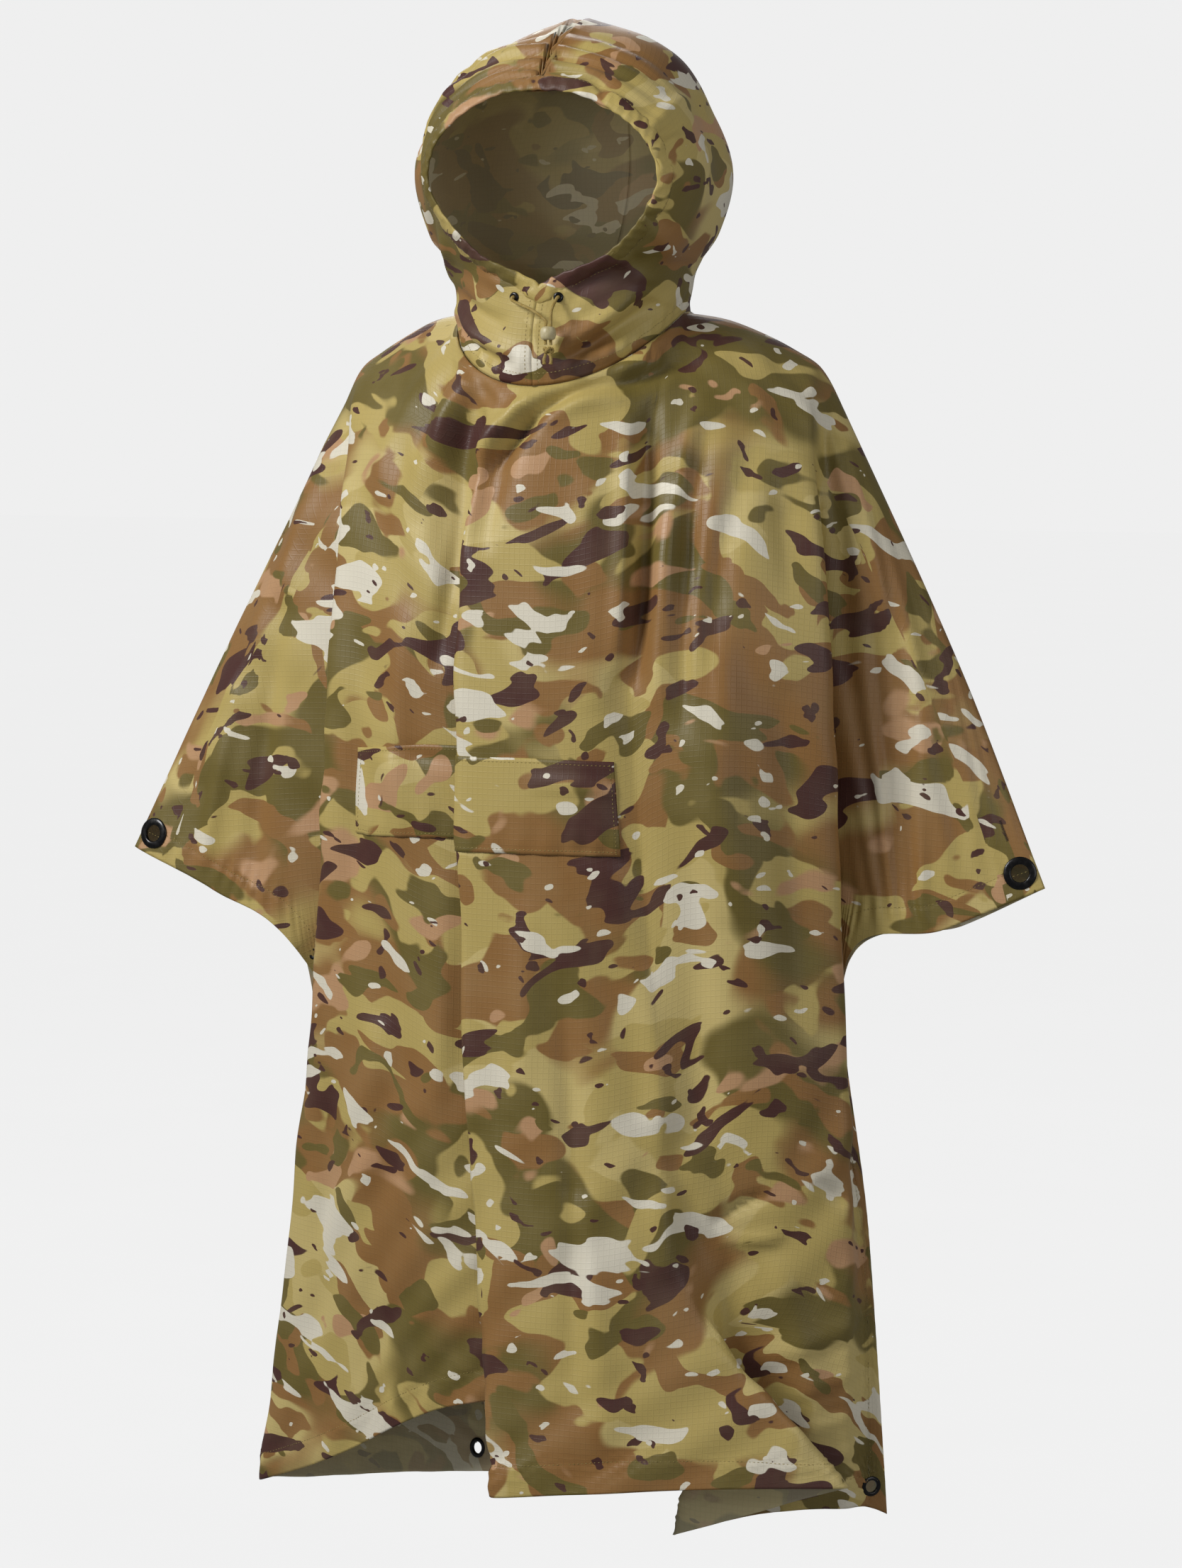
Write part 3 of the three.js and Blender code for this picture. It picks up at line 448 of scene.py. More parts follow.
def sideControls(sheet, side, drops):
    folds = [sheet["centre"]] + sheet["left" if side < 0 else "right"]
    facing = sheet["facing"]
    points = [foldLine(row, side, facing, drops) for row in folds]
    shifts = []
    for k, row in enumerate(folds):
        if not row[1]:
            shifts.append(np.zeros(len(drops)))
            continue
        before, after = points[k - 1] - points[k], points[k + 1] - points[k]
        gapBefore, gapAfter = lengthOf(before), lengthOf(after)
        doubled = (1 + np.sum(before * after, -1) / (gapBefore * gapAfter)) / 2
        shifts.append(-facing * np.minimum(0.5 * pleats["gap"] * doubled,
                                           0.3 * np.minimum(gapBefore, gapAfter)))
    upY = np.array([0, 1, 0])
    arriving = [p - s[:, None] * upY for p, s in zip(points, shifts)]
    leaving = [p + s[:, None] * upY for p, s in zip(points, shifts)]

    def stepped(start, towards, reach, row, neighbour):
        gap = lengthOf(towards - start)
        share = np.minimum(reach / np.maximum(gap, 1), 0.4)
        alongGap = neighbour[0] - row[0]
        alongShare = min(reach / abs(alongGap), 0.4)
        return start + share[:, None] * (towards - start), np.full(len(drops), row[0] + alongShare * alongGap)

    controls = []
    for k, row in enumerate(folds):
        if not row[1]:
            controls.append((points[k], np.full(len(drops), float(row[0]))))
            continue
        for start, towards, reach, other in ((arriving[k], leaving[k - 1], pleats["reach"], k - 1),
                                             (arriving[k], leaving[k - 1], pleats["tip"], k - 1),
                                             (leaving[k], arriving[k + 1], pleats["tip"], k + 1),
                                             (leaving[k], arriving[k + 1], pleats["reach"], k + 1)):
            controls.append(stepped(start, towards, reach, row, folds[other]))
    return controls


def sheetControls(sheet, drops):
    left = sideControls(sheet, -1, drops)
    right = sideControls(sheet, 1, drops)
    rows = [(points, -along) for points, along in left][::-1] + right[1:]
    return np.array([points for points, along in rows]), np.array([along for points, along in rows])


def splineWeights(places, count):
    weights = np.zeros((len(places), count))
    rows = np.arange(len(places))
    span = np.minimum(places.astype(int), count - 2)
    s = places - span
    r = 1 - s
    four = (r ** 3 / 6, (3 * s ** 3 - 6 * s ** 2 + 4) / 6, (3 * r ** 3 - 6 * r ** 2 + 4) / 6, s ** 3 / 6)
    for k, share in enumerate(four):
        index = span + k - 1
        low, high = index < 0, index > count - 1
        inner = ~(low | high)
        np.add.at(weights, (rows[inner], index[inner]), share[inner])
        for edge, end, beside in ((low, 0, 1), (high, count - 1, count - 2)):
            np.add.at(weights, (rows[edge], np.full(edge.sum(), end)), 2 * share[edge])
            np.add.at(weights, (rows[edge], np.full(edge.sum(), beside)), -share[edge])
    return weights


# Points of a sheet's middle in metres, as rows down the drops and columns along the places
def sheetGrid(sheet, places, drops):
    places, drops = np.asarray(places, float), np.asarray(drops, float)
    points, along = sheetControls(sheet, np.concatenate([[0.0], drops]))
    weights = splineWeights(places, len(points))
    grid = np.einsum("mc,cnk->nmk", weights, points)
    topAlong = weights @ along[:, 0]
    onLine = carryingLine(np.abs(topAlong), np.where(topAlong < 0, -1.0, 1.0), sheet["facing"])
    settle = np.clip(1 - drops / 0.06, 0, 1) ** 1.5
    return (grid[1:] + settle[:, None, None] * (onLine - grid[0])) * mm


def gridNormals(grid, flip):
    across = np.gradient(grid, axis=1)
    down = np.gradient(grid, axis=0)
    normal = np.cross(down, across) * flip
    return normal / np.maximum(lengthOf(normal), 1e-12)[..., None]


def placeOn(sheet, side, edgeDistance, drop):
    last = len(sheetControls(sheet, np.array([0.5]))[0]) - 1
    places = (np.arange(0, 400) * 0.01) if side < 0 else last - np.arange(0, 400) * 0.01
    line = sheetGrid(sheet, places, [drop])[0]
    k = int(np.argmax(lengthOf(line - line[0]) >= edgeDistance * mm))
    near = sheetGrid(sheet, [max(places[k] - 0.02, 0), min(places[k] + 0.02, last)], [drop])[0]
    down = sheetGrid(sheet, [places[k]], [max(drop - 0.01, 0.001), min(drop + 0.01, 1)])[:, 0]
    normal = np.cross(down[1] - down[0], near[1] - near[0]) * -sheet["facing"]
    return Vector(line[k]), Vector(normal).normalized()


# Creases listed one by one: start x and z, end x and z, half width, height, sideways bend, all in millimetres
frontCreases = [
    (150, -7, 0, -52, 9, -5, 8), (104, -12, 2, -66, 12, 4, 6), (2, -52, -40, -190, 12, -4, -6),
    (100, -16, 128, -120, 16, 4, 5), (126, -30, 150, -210, 13, -3.5, -8), (165, 4, 222, -150, 17, 4, 9),
    (188, -20, 236, -230, 12, -3, 6), (-72, -18, -122, -160, 16, 4, -8), (-56, -40, -92, -210, 12, -3, -6),
    (-104, -6, -168, -150, 15, 3.5, -8), (60, -120, 72, -330, 18, 3, 6), (178, -230, 196, -520, 20, 3.5, -8),
    (230, -300, 246, -640, 14, -3, 5), (150, -420, 160, -720, 17, -3, 6), (-122, -240, -130, -470, 16, 3, -5),
    (-176, -260, -196, -560, 15, -3, 6), (-84, -480, -92, -720, 15, 3, 6),
    (-150, -620, -178, -900, 18, 3.5, -8),
    (-208, -640, -246, -980, 14, -3, -5), (174, -792, 222, -764, 5, -3, 3),
    (180, -806, 236, -800, 5, 2.5, -3),
    (262, -752, 286, -776, 5, -2.5, 2), (120, -700, 196, -905, 14, -3, 8), (60, -760, 96, -1000, 16, 3, 6),
    (224, -820, 262, -1010, 14, 3, 6), (10, -500, 4, -700, 14, 2.5, 4), (-30, -700, -18, -960, 12, -2.5, -4),
    (84, -60, 86, -300, 9, 5, 3), (104, -52, 104, -310, 8, -6, 3), (140, -60, 128, -330, 9, 4.5, -5),
    (155, -70, 150, -350, 9, -5, -5), (192, -90, 172, -360, 10, -4, -8), (76, -24, -44, -130, 8, -6, -14),
    (60, -22, -56, -120, 9, 5, -14), (-66, -70, -92, -300, 10, -4, 5), (112, -560, 140, -840, 12, 3.5, 4),
    (44, -560, 66, -960, 12, -3.5, 5), (-60, -30, -96, -110, 9, 4, -5), (-84, -20, -120, -110, 8, -4, -5),
    (10, -395, 90, -402, 7, 1.6, 3), (-160, -366, -60, -380, 7, -1.6, -3), (40, -452, 116, -470, 8, -1.4, 3),
    (246, -58, 300, -260, 14, 4, 6), (270, -90, 352, -330, 13, -3.5, 8), (300, -170, 392, -430, 14, 3.5, -7),
    (286, -240, 322, -520, 13, -3, 5), (330, -330, 372, -520, 10, 2.5, 4), (-246, -60, -292, -250, 14, 4, -6),
    (-272, -96, -346, -330, 13, -3.5, -8), (-300, -170, -384, -420, 14, 3.5, 7),
    (-286, -240, -318, -520, 13, -3, -5),
    (-330, -330, -374, -516, 10, 2.5, -4),
]
backCreases = [
    (70, 20, 128, -130, 15, 4, 8), (40, 18, 62, -160, 13, -3, -5), (-70, 20, -126, -140, 15, 4, -8),
    (-36, 18, -70, -170, 13, -3, 5), (100, -20, 180, -210, 14, -3, 8), (-104, -24, -186, -220, 14, -3, -8),
    (10, -160, 20, -460, 18, 3, 6), (150, -260, 156, -600, 16, -3, 6), (-150, -240, -164, -580, 16, 3.5, -6),
    (60, -420, 52, -760, 15, 3, -6), (-100, -520, -112, -860, 16, -3, 6), (196, -640, 222, -980, 15, 3, 6),
    (-210, -620, -250, -960, 15, 3, -8), (30, -760, 48, -1020, 14, -3, 5),
    (-30, -800, -40, -1030, 12, 2.5, -4),
    (250, -60, 306, -270, 14, 4, 6), (276, -100, 356, -340, 13, -3.5, 8), (300, -180, 392, -440, 14, 3.5, -7),
    (288, -250, 318, -520, 12, -3, 4), (-250, -60, -300, -270, 14, 4, -6),
    (-276, -100, -352, -340, 13, -3.5, -8),
    (-304, -180, -388, -430, 14, 3.5, 7), (-290, -250, -316, -520, 12, -3, -4),
]


def creaseHeight(points, table, allowed):
    height = np.zeros(points.shape[:-1])
    x, z = points[..., 0] / mm, points[..., 2] / mm
    for startX, startZ, endX, endZ, width, depth, bend in table:
        runX, runZ = endX - startX, endZ - startZ
        length = math.hypot(runX, runZ)
        t = np.clip(((x - startX) * runX + (z - startZ) * runZ) / length ** 2, 0, 1)
        arch = 4 * t * (1 - t)
        aside = ((x - startX) * -runZ + (z - startZ) * runX) / length - bend * arch
        beyond = np.hypot(x - startX - t * runX, z - startZ - t * runZ)
        gap = np.where((t > 0) & (t < 1), np.abs(aside), beyond)
        height += depth * arch ** 0.6 * np.exp(-(gap / width) ** 2) * mm
    return height * allowed


# Slow unevenness from a few long waves, the same on each run
def waviness(u, v, seed, strength):
    random = np.random.default_rng(seed)
    total = np.zeros(u.shape)
    for n in range(9):
        across, down = random.uniform(0.05, 0.16), random.uniform(0.25, 0.9) * random.choice([-1, 1])
        total += random.uniform(0.4, 1) * np.sin(2 * math.pi * (u / across + v / down)
                                                 + random.uniform(0, 6.28))
    return total * strength / 3


def cumulative(grid, axis, parts=(0, 1, 2)):
    steps = lengthOf(np.diff(grid[..., parts], axis=axis))
    total = np.cumsum(steps, axis=axis)
    pad = [(0, 0), (0, 0)]
    pad[axis] = (1, 0)
    return np.pad(total, pad)


def meshOf(name, points, faces, uvs, materials, smooth=True):
    mesh = bpy.data.meshes.new(name)
    mesh.from_pydata([tuple(p) for p in np.asarray(points).reshape(-1, 3)], [],
                     [tuple(int(i) for i in f) for f in faces])
    if uvs is not None:
        layer = mesh.uv_layers.new(name="clothMap")
        corners = np.zeros(len(mesh.loops), dtype=np.int32)
        mesh.loops.foreach_get("vertex_index", corners)
        layer.data.foreach_set("uv", np.asarray(uvs, dtype=np.float32).reshape(-1, 2)[corners].ravel())
    for material in materials:
        mesh.materials.append(material)
    mesh.polygons.foreach_set("use_smooth", [smooth] * len(mesh.polygons))
    mesh.update()
    thing = bpy.data.objects.new(name, mesh)
    scene.collection.objects.link(thing)
    return thing


def gridFaces(rows, columns, flip):
    numbers = np.arange(rows * columns).reshape(rows, columns)
    quads = np.stack([numbers[:-1, :-1], numbers[1:, :-1], numbers[1:, 1:], numbers[:-1, 1:]],
                     -1).reshape(-1, 4)
    return quads if flip else quads[:, ::-1]


def chosen(thing):
    for other in bpy.context.selected_objects:
        other.select_set(False)
    thing.select_set(True)
    bpy.context.view_layer.objects.active = thing


def thicken(thing, thickness):
    chosen(thing)
    shell = thing.modifiers.new("wall", "SOLIDIFY")
    shell.thickness, shell.offset, shell.use_even_offset = thickness, -1, False
    shell.material_offset, shell.material_offset_rim = 1, 0
    bpy.ops.object.modifier_apply(modifier=shell.name)


# A round hole under an eyelet's flange: the cloth inside it is pushed out to its rim
def holedFaces(points, faces, holes):
    flat = points.reshape(-1, 3)
    keep = np.ones(len(faces), bool)
    for centre, normal, radius in holes:
        centre, normal = np.array(centre), np.array(normal)
        middle = flat[faces].mean(1)
        offset = middle - centre
        level = offset @ normal
        radial = lengthOf(offset - level[:, None] * normal)
        keep &= ~((radial < 0.78 * radius) & (np.abs(level) < 0.006))
        offset = flat - centre
        level = offset @ normal
        plane = offset - level[:, None] * normal
        distance = lengthOf(plane)
        inside = (distance < radius) & (np.abs(level) < 0.006) & (distance > 1e-6)
        outward = plane[inside] * (radius / distance[inside])[:, None]
        flat[inside] = centre + level[inside, None] * normal + outward
    return faces[keep]


clothSheet = {"thickness": 0.0009, "columnStep": 0.0075, "rowStep": 0.0062, "hemStep": 0.0026,
              "hemZone": 0.046,
              "hemWidth": 0.031, "sideHemWidth": 0.027, "wave": 0.0022, "creaseShare": 2.1}


def sheetPlaces(sheet):
    last = len(sheetControls(sheet, np.array([0.5]))[0]) - 1
    fine = np.linspace(0, last, last * 8 + 1)
    sample = sheetGrid(sheet, fine, [0.0, 0.1, 0.22, 0.4, 0.6, 0.8, 1.0])
    steps = lengthOf(np.diff(sample, axis=1)).max(0)
    places = [0.0]
    for k in range(last):
        length = steps[k * 8:(k + 1) * 8].sum()
        count = max(3, math.ceil(length / clothSheet["columnStep"]))
        if k in (0, last - 1):
            near = clothSheet["hemZone"] / length
            edge = np.linspace(0, near, math.ceil(clothSheet["hemZone"] / clothSheet["hemStep"]))[:-1]
            rest = np.linspace(near, 1, count)
            shares = np.concatenate([edge, rest])
            shares = shares if k == 0 else (1 - shares)[::-1]
            places.extend(k + shares[1:])
        else:
            places.extend(k + np.arange(1, count + 1) / count)
    return np.array(places)


def sheetDrops():
    length = 1.09
    zone = clothSheet["hemZone"] / length
    top = 0.22 * (np.arange(0, 40) / 40) ** 1.35
    middle = np.linspace(0.22, 1 - zone, math.ceil((0.78 - zone) * length / clothSheet["rowStep"]))[:-1]
    hem = np.linspace(1 - zone, 1, math.ceil(clothSheet["hemZone"] / clothSheet["hemStep"]) + 1)
    return np.concatenate([top, middle, hem])


def hemRelief(fromEdge, along, width, seed):
    random = np.random.default_rng(seed)
    phase = random.uniform(0, 6.28, 3)
    band = 0.5 * (1 - np.tanh((fromEdge - width - 0.001) / 0.0012)) * 0.0007
    groove = -0.0007 * np.exp(-((fromEdge - width + 0.002) / 0.0022) ** 2)
    ripple = np.sin(2 * math.pi * along / 0.017 + 2.2 * np.sin(2 * math.pi * along / 0.11 + phase[0])
                    + phase[1])
    pucker = 0.0008 * ripple * np.exp(-((fromEdge - width * 0.8) / (width * 0.55)) ** 2)
    return band + groove + pucker


# Points and normals along a line that runs at one distance from an edge of a grid
def lineInside(grid, normals, distance, edge):
    if edge == "hem":
        lines, faces = grid[::-1].swapaxes(0, 1), normals[::-1].swapaxes(0, 1)
    elif edge == "low":
        lines, faces = grid, normals
    elif edge == "high":
        lines, faces = grid[:, ::-1], normals[:, ::-1]
    else:
        lines, faces = grid.swapaxes(0, 1), normals.swapaxes(0, 1)
    path, up = [], []
    for line, face in zip(lines, faces):
        lengths = np.concatenate([[0], np.cumsum(lengthOf(np.diff(line, axis=0)))])
        k = int(np.clip(np.searchsorted(lengths, distance) - 1, 0, len(line) - 2))
        share = (distance - lengths[k]) / max(lengths[k + 1] - lengths[k], 1e-9)
        path.append(line[k] + share * (line[k + 1] - line[k]))
        up.append(face[k])
    return np.array(path), np.array(up)


stitch = {"length": 0.0027, "width": 0.0007, "height": 0.0005, "pitch": 0.0038}


def stitchLine(path, up, lift=0.0001, pitch=None, length=None, across=False):
    pitch, length = pitch or stitch["pitch"], length or stitch["length"]
    lengths = np.concatenate([[0], np.cumsum(lengthOf(np.diff(path, axis=0)))])
    spots = np.arange(pitch, lengths[-1] - pitch / 2, pitch)
    points, faces = [], []
    for spot in spots:
        k = int(np.clip(np.searchsorted(lengths, spot) - 1, 0, len(path) - 2))
        share = (spot - lengths[k]) / max(lengths[k + 1] - lengths[k], 1e-9)
        centre = path[k] + share * (path[k + 1] - path[k]) + up[k] * lift
        ahead = path[k + 1] - path[k]
        ahead = ahead / max(np.linalg.norm(ahead), 1e-9)
        side = np.cross(up[k], ahead)
        if across:
            ahead, side = side, ahead
        first = len(points)
        for towards, size in ((ahead, length), (side, stitch["width"]), (up[k], stitch["height"])):
            points += [centre - towards * size / 2, centre + towards * size / 2]
        for a, b, c in ((0, 2, 4), (2, 1, 4), (1, 3, 4), (3, 0, 4), (2, 0, 5), (1, 2, 5), (3, 1, 5),
                        (0, 3, 5)):
            faces.append((first + a, first + b, first + c))
    return points, faces


def stitchPiece(name, lines, thread=None):
    points, faces = [], []
    for linePoints, lineFaces in lines:
        faces += [tuple(len(points) + k for k in face) for face in lineFaces]
        points += linePoints
    thing = meshOf(name, points, faces, None, [thread or sewingThread])
    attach(thing, "root")
    return thing


eyelets = {
    "wing": {"outer": 15, "hole": 8, "height": 4.4, "fromEdge": 20, "drop": 0.034},
    "corner": {"outer": 9.5, "hole": 5.5, "height": 4, "fromEdge": 16, "drop": 0.982},
    "cord": {"outer": 4.6, "hole": 1.8, "height": 3.6, "rise": 0.215, "centre": 3, "sideways": 21},
}
eyeletRows = [
    ("eyelet_wing_right", frontSheet, -1, "wing"), ("eyelet_wing_left", frontSheet, 1, "wing"),
    ("eyelet_corner_front_right", frontSheet, -1, "corner"),
    ("eyelet_corner_front_left", frontSheet, 1, "corner"),
    ("eyelet_corner_back_right", backSheet, -1, "corner"),
    ("eyelet_corner_back_left", backSheet, 1, "corner"),
]
eyeletPlaces = {}
for name, sheet, side, kind in eyeletRows:
    eyeletPlaces[name] = placeOn(sheet, side, eyelets[kind]["fromEdge"], eyelets[kind]["drop"])


def middleOf(node):
    low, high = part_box(node)
    return (Vector(low) + Vector(high)) / 2


for name, (point, normal) in eyeletPlaces.items():
    print("eyelet", name, "off its solid by mm", round((point - middleOf(name)).length * 1000, 2))


# The print lies level across the rows and upright down the columns, as on hanging cloth
def clothMap(grid, shift):
    centre = int(np.argmin(np.abs(grid[0, :, 0])))
    step = np.diff(grid, axis=1)
    across = np.cumsum(np.sign(step[..., 0]) * np.hypot(step[..., 0], step[..., 1]), axis=1)
    across = np.pad(across, [(0, 0), (1, 0)])
    u = across - across[:, centre:centre + 1] + grid[:, centre:centre + 1, 0]
    v = cumulative(grid, 0, (1, 2)) - grid[:1, :, 2]
    return np.stack([u + shift[0], v + shift[1]], -1)


def makeSheet(name, sheet, creases, seed, shift):
    places, drops = sheetPlaces(sheet), sheetDrops()
    grid = sheetGrid(sheet, places, drops)
    normals = gridNormals(grid, -sheet["facing"])
    u, v = cumulative(grid, 1), cumulative(grid, 0)
    fromHem = v[-1:, :] - v
    fromSide = np.minimum(u, u[:, -1:] - u)
    along = np.abs(grid[:1, :, 0])
    calm = np.clip(fromSide / 0.05, 0, 1) * np.clip(v / np.where(along < 0.095, 0.02, 0.06), 0, 1)
    for node, (point, normal) in eyeletPlaces.items():
        calm = calm * np.clip((lengthOf(grid - np.array(point)) - 0.018) / 0.03, 0, 1)
    outer = np.clip(4 * normals[..., 1] * sheet["facing"], 0, 1)
    height = clothSheet["creaseShare"] * creaseHeight(grid, creases, calm * outer)
    height += waviness(u, v, seed, clothSheet["wave"]) * calm
    onHem = np.clip((fromSide - 0.006) / 0.01, 0, 1)
    height += hemRelief(fromHem, u, clothSheet["hemWidth"], seed + 1) * onHem
    sideHem = hemRelief(fromSide, v, clothSheet["sideHemWidth"], seed + 2)
    height += sideHem * np.clip(fromHem / 0.03, 0, 1) * np.clip(v / 0.02, 0, 1)
    points = grid + normals * height[..., None]
    holes = [(point, normal, (eyelets[kind]["outer"] + eyelets[kind]["hole"]) / 2 * mm)
             for node, other, side, kind in eyeletRows if other is sheet
             for point, normal in [eyeletPlaces[node]]]
    faces = gridFaces(*grid.shape[:2], sheet["facing"] < 0)
    faces = holedFaces(points, faces, holes)
    thing = meshOf(name, points, faces, clothMap(grid, shift), [clothOutside, clothInside])
    thicken(thing, clothSheet["thickness"])
    fresh = gridNormals(points, -sheet["facing"])
    lines = [stitchLine(*lineInside(points[:, 4:-4], fresh[:, 4:-4], clothSheet["hemWidth"] - 0.002, "hem")),
             stitchLine(*lineInside(points[4:-8], fresh[4:-8], clothSheet["sideHemWidth"] - 0.002, "low")),
             stitchLine(*lineInside(points[4:-8], fresh[4:-8], clothSheet["sideHemWidth"] - 0.002, "high"))]
    sewing = stitchPiece(name + "_stitching", lines)
    print("sheet", name, grid.shape, "triangles", 2 * len(thing.data.polygons),
          "area", round(sum(p.area for p in thing.data.polygons) / 2, 3))
    return thing, sewing, points, fresh, places, drops


print("stage: front and back")
front, frontSewing, frontPoints, frontNormals, frontPlaces, frontDrops = makeSheet(
    "front_cloth", frontSheet, frontCreases, 11, (0, 0))
back, backSewing = makeSheet("back_cloth", backSheet, backCreases, 23, (2.6, 0.4))[:2]
for thing, sewing, node in ((front, frontSewing, "front_panel"), (back, backSewing, "back_panel")):
    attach(thing, "root")
    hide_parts(node)

barTack = {"from": 50, "to": 72, "pitch": 0.0009, "length": 0.0032}


def makeBarTack():
    ends = [placeOn(frontSheet, 1, barTack[end], eyelets["wing"]["drop"]) for end in ("from", "to")]
    path, up = [], []
    for share in np.linspace(0, 1, 12):
        spot = np.array(ends[0][0]) * (1 - share) + np.array(ends[1][0]) * share
        row, column = np.unravel_index(np.argmin(lengthOf(frontPoints - spot)), frontPoints.shape[:2])
        normal = frontNormals[row, column]
        path.append(spot + normal * np.dot(frontPoints[row, column] - spot, normal))
        up.append(normal)
    row = stitchLine(np.array(path), np.array(up), 0.0002, barTack["pitch"], barTack["length"], True)
    return stitchPiece("bar_tack_left", [row], tackThread)


makeBarTack()

print("stage: pocket flap")
flap = {"from": 9.5, "to": 22, "top": 0.342, "bottom": 0.408, "lift": 0.0013, "puff": 0.0010}


def makeFlap():
    fineDrops = np.linspace(flap["top"], flap["bottom"], 30)
    columns = (frontPlaces >= flap["from"]) & (frontPlaces <= flap["to"])
    base = np.zeros((len(fineDrops), columns.sum(), 3))
    up = np.zeros_like(base)
    source, sourceUp = frontPoints[:, columns], frontNormals[:, columns]
    for column in range(base.shape[1]):
        for axis in range(3):
            base[:, column, axis] = np.interp(fineDrops, frontDrops, source[:, column, axis])
            up[:, column, axis] = np.interp(fineDrops, frontDrops, sourceUp[:, column, axis])
    up /= lengthOf(up)[..., None]
    share = (fineDrops - flap["top"]) / (flap["bottom"] - flap["top"])
    along = cumulative(base, 1)
    v = cumulative(base, 0)
    fromEnds = np.minimum(along, along[:, -1:] - along)
    puff = flap["puff"] * np.sin(np.pi * np.clip(share, 0, 1))[:, None] ** 0.7
    puff = puff * np.clip(fromEnds / 0.015, 0, 1)
    seam = -0.0006 * np.exp(-((v - v[-1:] + 0.004) / 0.002) ** 2)
    ripple = 0.0006 * np.sin(2 * math.pi * along / 0.021 + 2 * np.sin(along / 0.03))
    ripple = ripple * np.exp(-((share[:, None] - 0.9) / 0.2) ** 2)
    points = base + up * (flap["lift"] + puff + seam + ripple)[..., None]
    faces = gridFaces(*points.shape[:2], True)
    thing = meshOf("flap_cloth", points, faces, clothMap(base, (5.3, 1.7)), [clothOutside, clothInside])
    thicken(thing, 0.0009)
    fresh = gridNormals(points, 1)
    lines = [stitchLine(*lineInside(points, fresh, 0.004, "hem")),
             stitchLine(*lineInside(points, fresh, 0.004, "top")),
             stitchLine(*lineInside(points, fresh, 0.004, "low")),
             stitchLine(*lineInside(points, fresh, 0.004, "high"))]
    return thing, stitchPiece("flap_stitching", lines)


flapCloth, flapSewing = makeFlap()
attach(flapCloth, "root")
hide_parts("pocket_flap")

print("stage: hood")
hood = {
    "rise": (0, 0.1, 0.24, 0.34, 0.5, 0.66, 0.8, 0.92, 1),
    "faceX": (0, 0, 0, 62, 106, 104, 76, 36, 0),
    "faceY": (-130, -132, -131, -134, -138, -144, -150, -154, -154),
    "faceZ": (-40, -4, 46, 76, 128, 168, 198, 217, 221),
    "halfWidth": (105, 106, 118, 134, 146, 136, 108, 64, 0),
    "sideY": (-20, -22, -24, -28, -32, -34, -36, -36, -36),
    "sideZ": (26, 45, 70, 98, 146, 190, 235, 272, 293),
    "backY": (80, 76, 86, 106, 126, 130, 122, 104, 92),
    "backZ": (30, 46, 78, 104, 144, 182, 218, 246, 257),
    "columns": 104, "rows": 108, "chin": 0.24,
}
hoodLean = {"most": 12.5, "fromZ": 0, "fullZ": 90, "faceFrom": 40, "faceFull": 120,
            "crownFrom": 200, "crownFull": 262}


def hoodGrid(side, rounds, rises):
    rounds, rises = np.asarray(rounds, float)[None, :], np.asarray(rises, float)[:, None]
    at = {name: through(hood["rise"], hood[name], rises) for name in hood
          if name not in ("rise", "columns", "rows", "chin")}
    halfWidth = np.maximum(at["halfWidth"], 0)
    faceX = np.minimum(np.maximum(at["faceX"], 0), 0.97 * halfWidth)
    faceX = np.where((rises <= hood["chin"]) | (rises >= 1), 0, faceX)
    start = np.arcsin(np.where(halfWidth > 0, faceX / np.maximum(halfWidth, 1e-6), 0))
    angle = start + (math.pi - start) * rounds
    ahead = np.cos(angle)
    share = np.where(ahead > 0, ahead / np.cos(start), -ahead)
    endY = np.where(ahead > 0, at["faceY"], at["backY"])
    endZ = np.where(ahead > 0, at["faceZ"], at["backZ"])
    power = neck["frontPower"] + rises * 0.5
    x = side * np.maximum(halfWidth * np.sin(angle), pleats["seamGap"] / 2)
    y = at["sideY"] + (endY - at["sideY"]) * share
    z = at["sideZ"] + (endZ - at["sideZ"]) * share ** power
    grid = np.stack([x, y, z], -1)
    if rises[0, 0] > 0:
        return grid * mm
    settle = np.clip(1 - rises / 0.05, 0, 1)[..., None]
    return (grid + settle * (neckRing(math.pi * rounds[0], side, 1.5, 0.5) - grid[:1])) * mm


# The finished hood leans towards the wearer's left, at its face and over its crown
def leaned(points):
    def eased(value, low, high):
        share = np.clip((value / mm - low) / (high - low), 0, 1)
        return share * share * (3 - 2 * share)
    atFace = eased(-points[..., 1], hoodLean["faceFrom"], hoodLean["faceFull"])
    atCrown = eased(points[..., 2], hoodLean["crownFrom"], hoodLean["crownFull"])
    share = eased(points[..., 2], hoodLean["fromZ"], hoodLean["fullZ"]) * (1 - (1 - atFace) * (1 - atCrown))
    return points + np.stack([hoodLean["most"] * mm * share, 0 * share, 0 * share], -1)


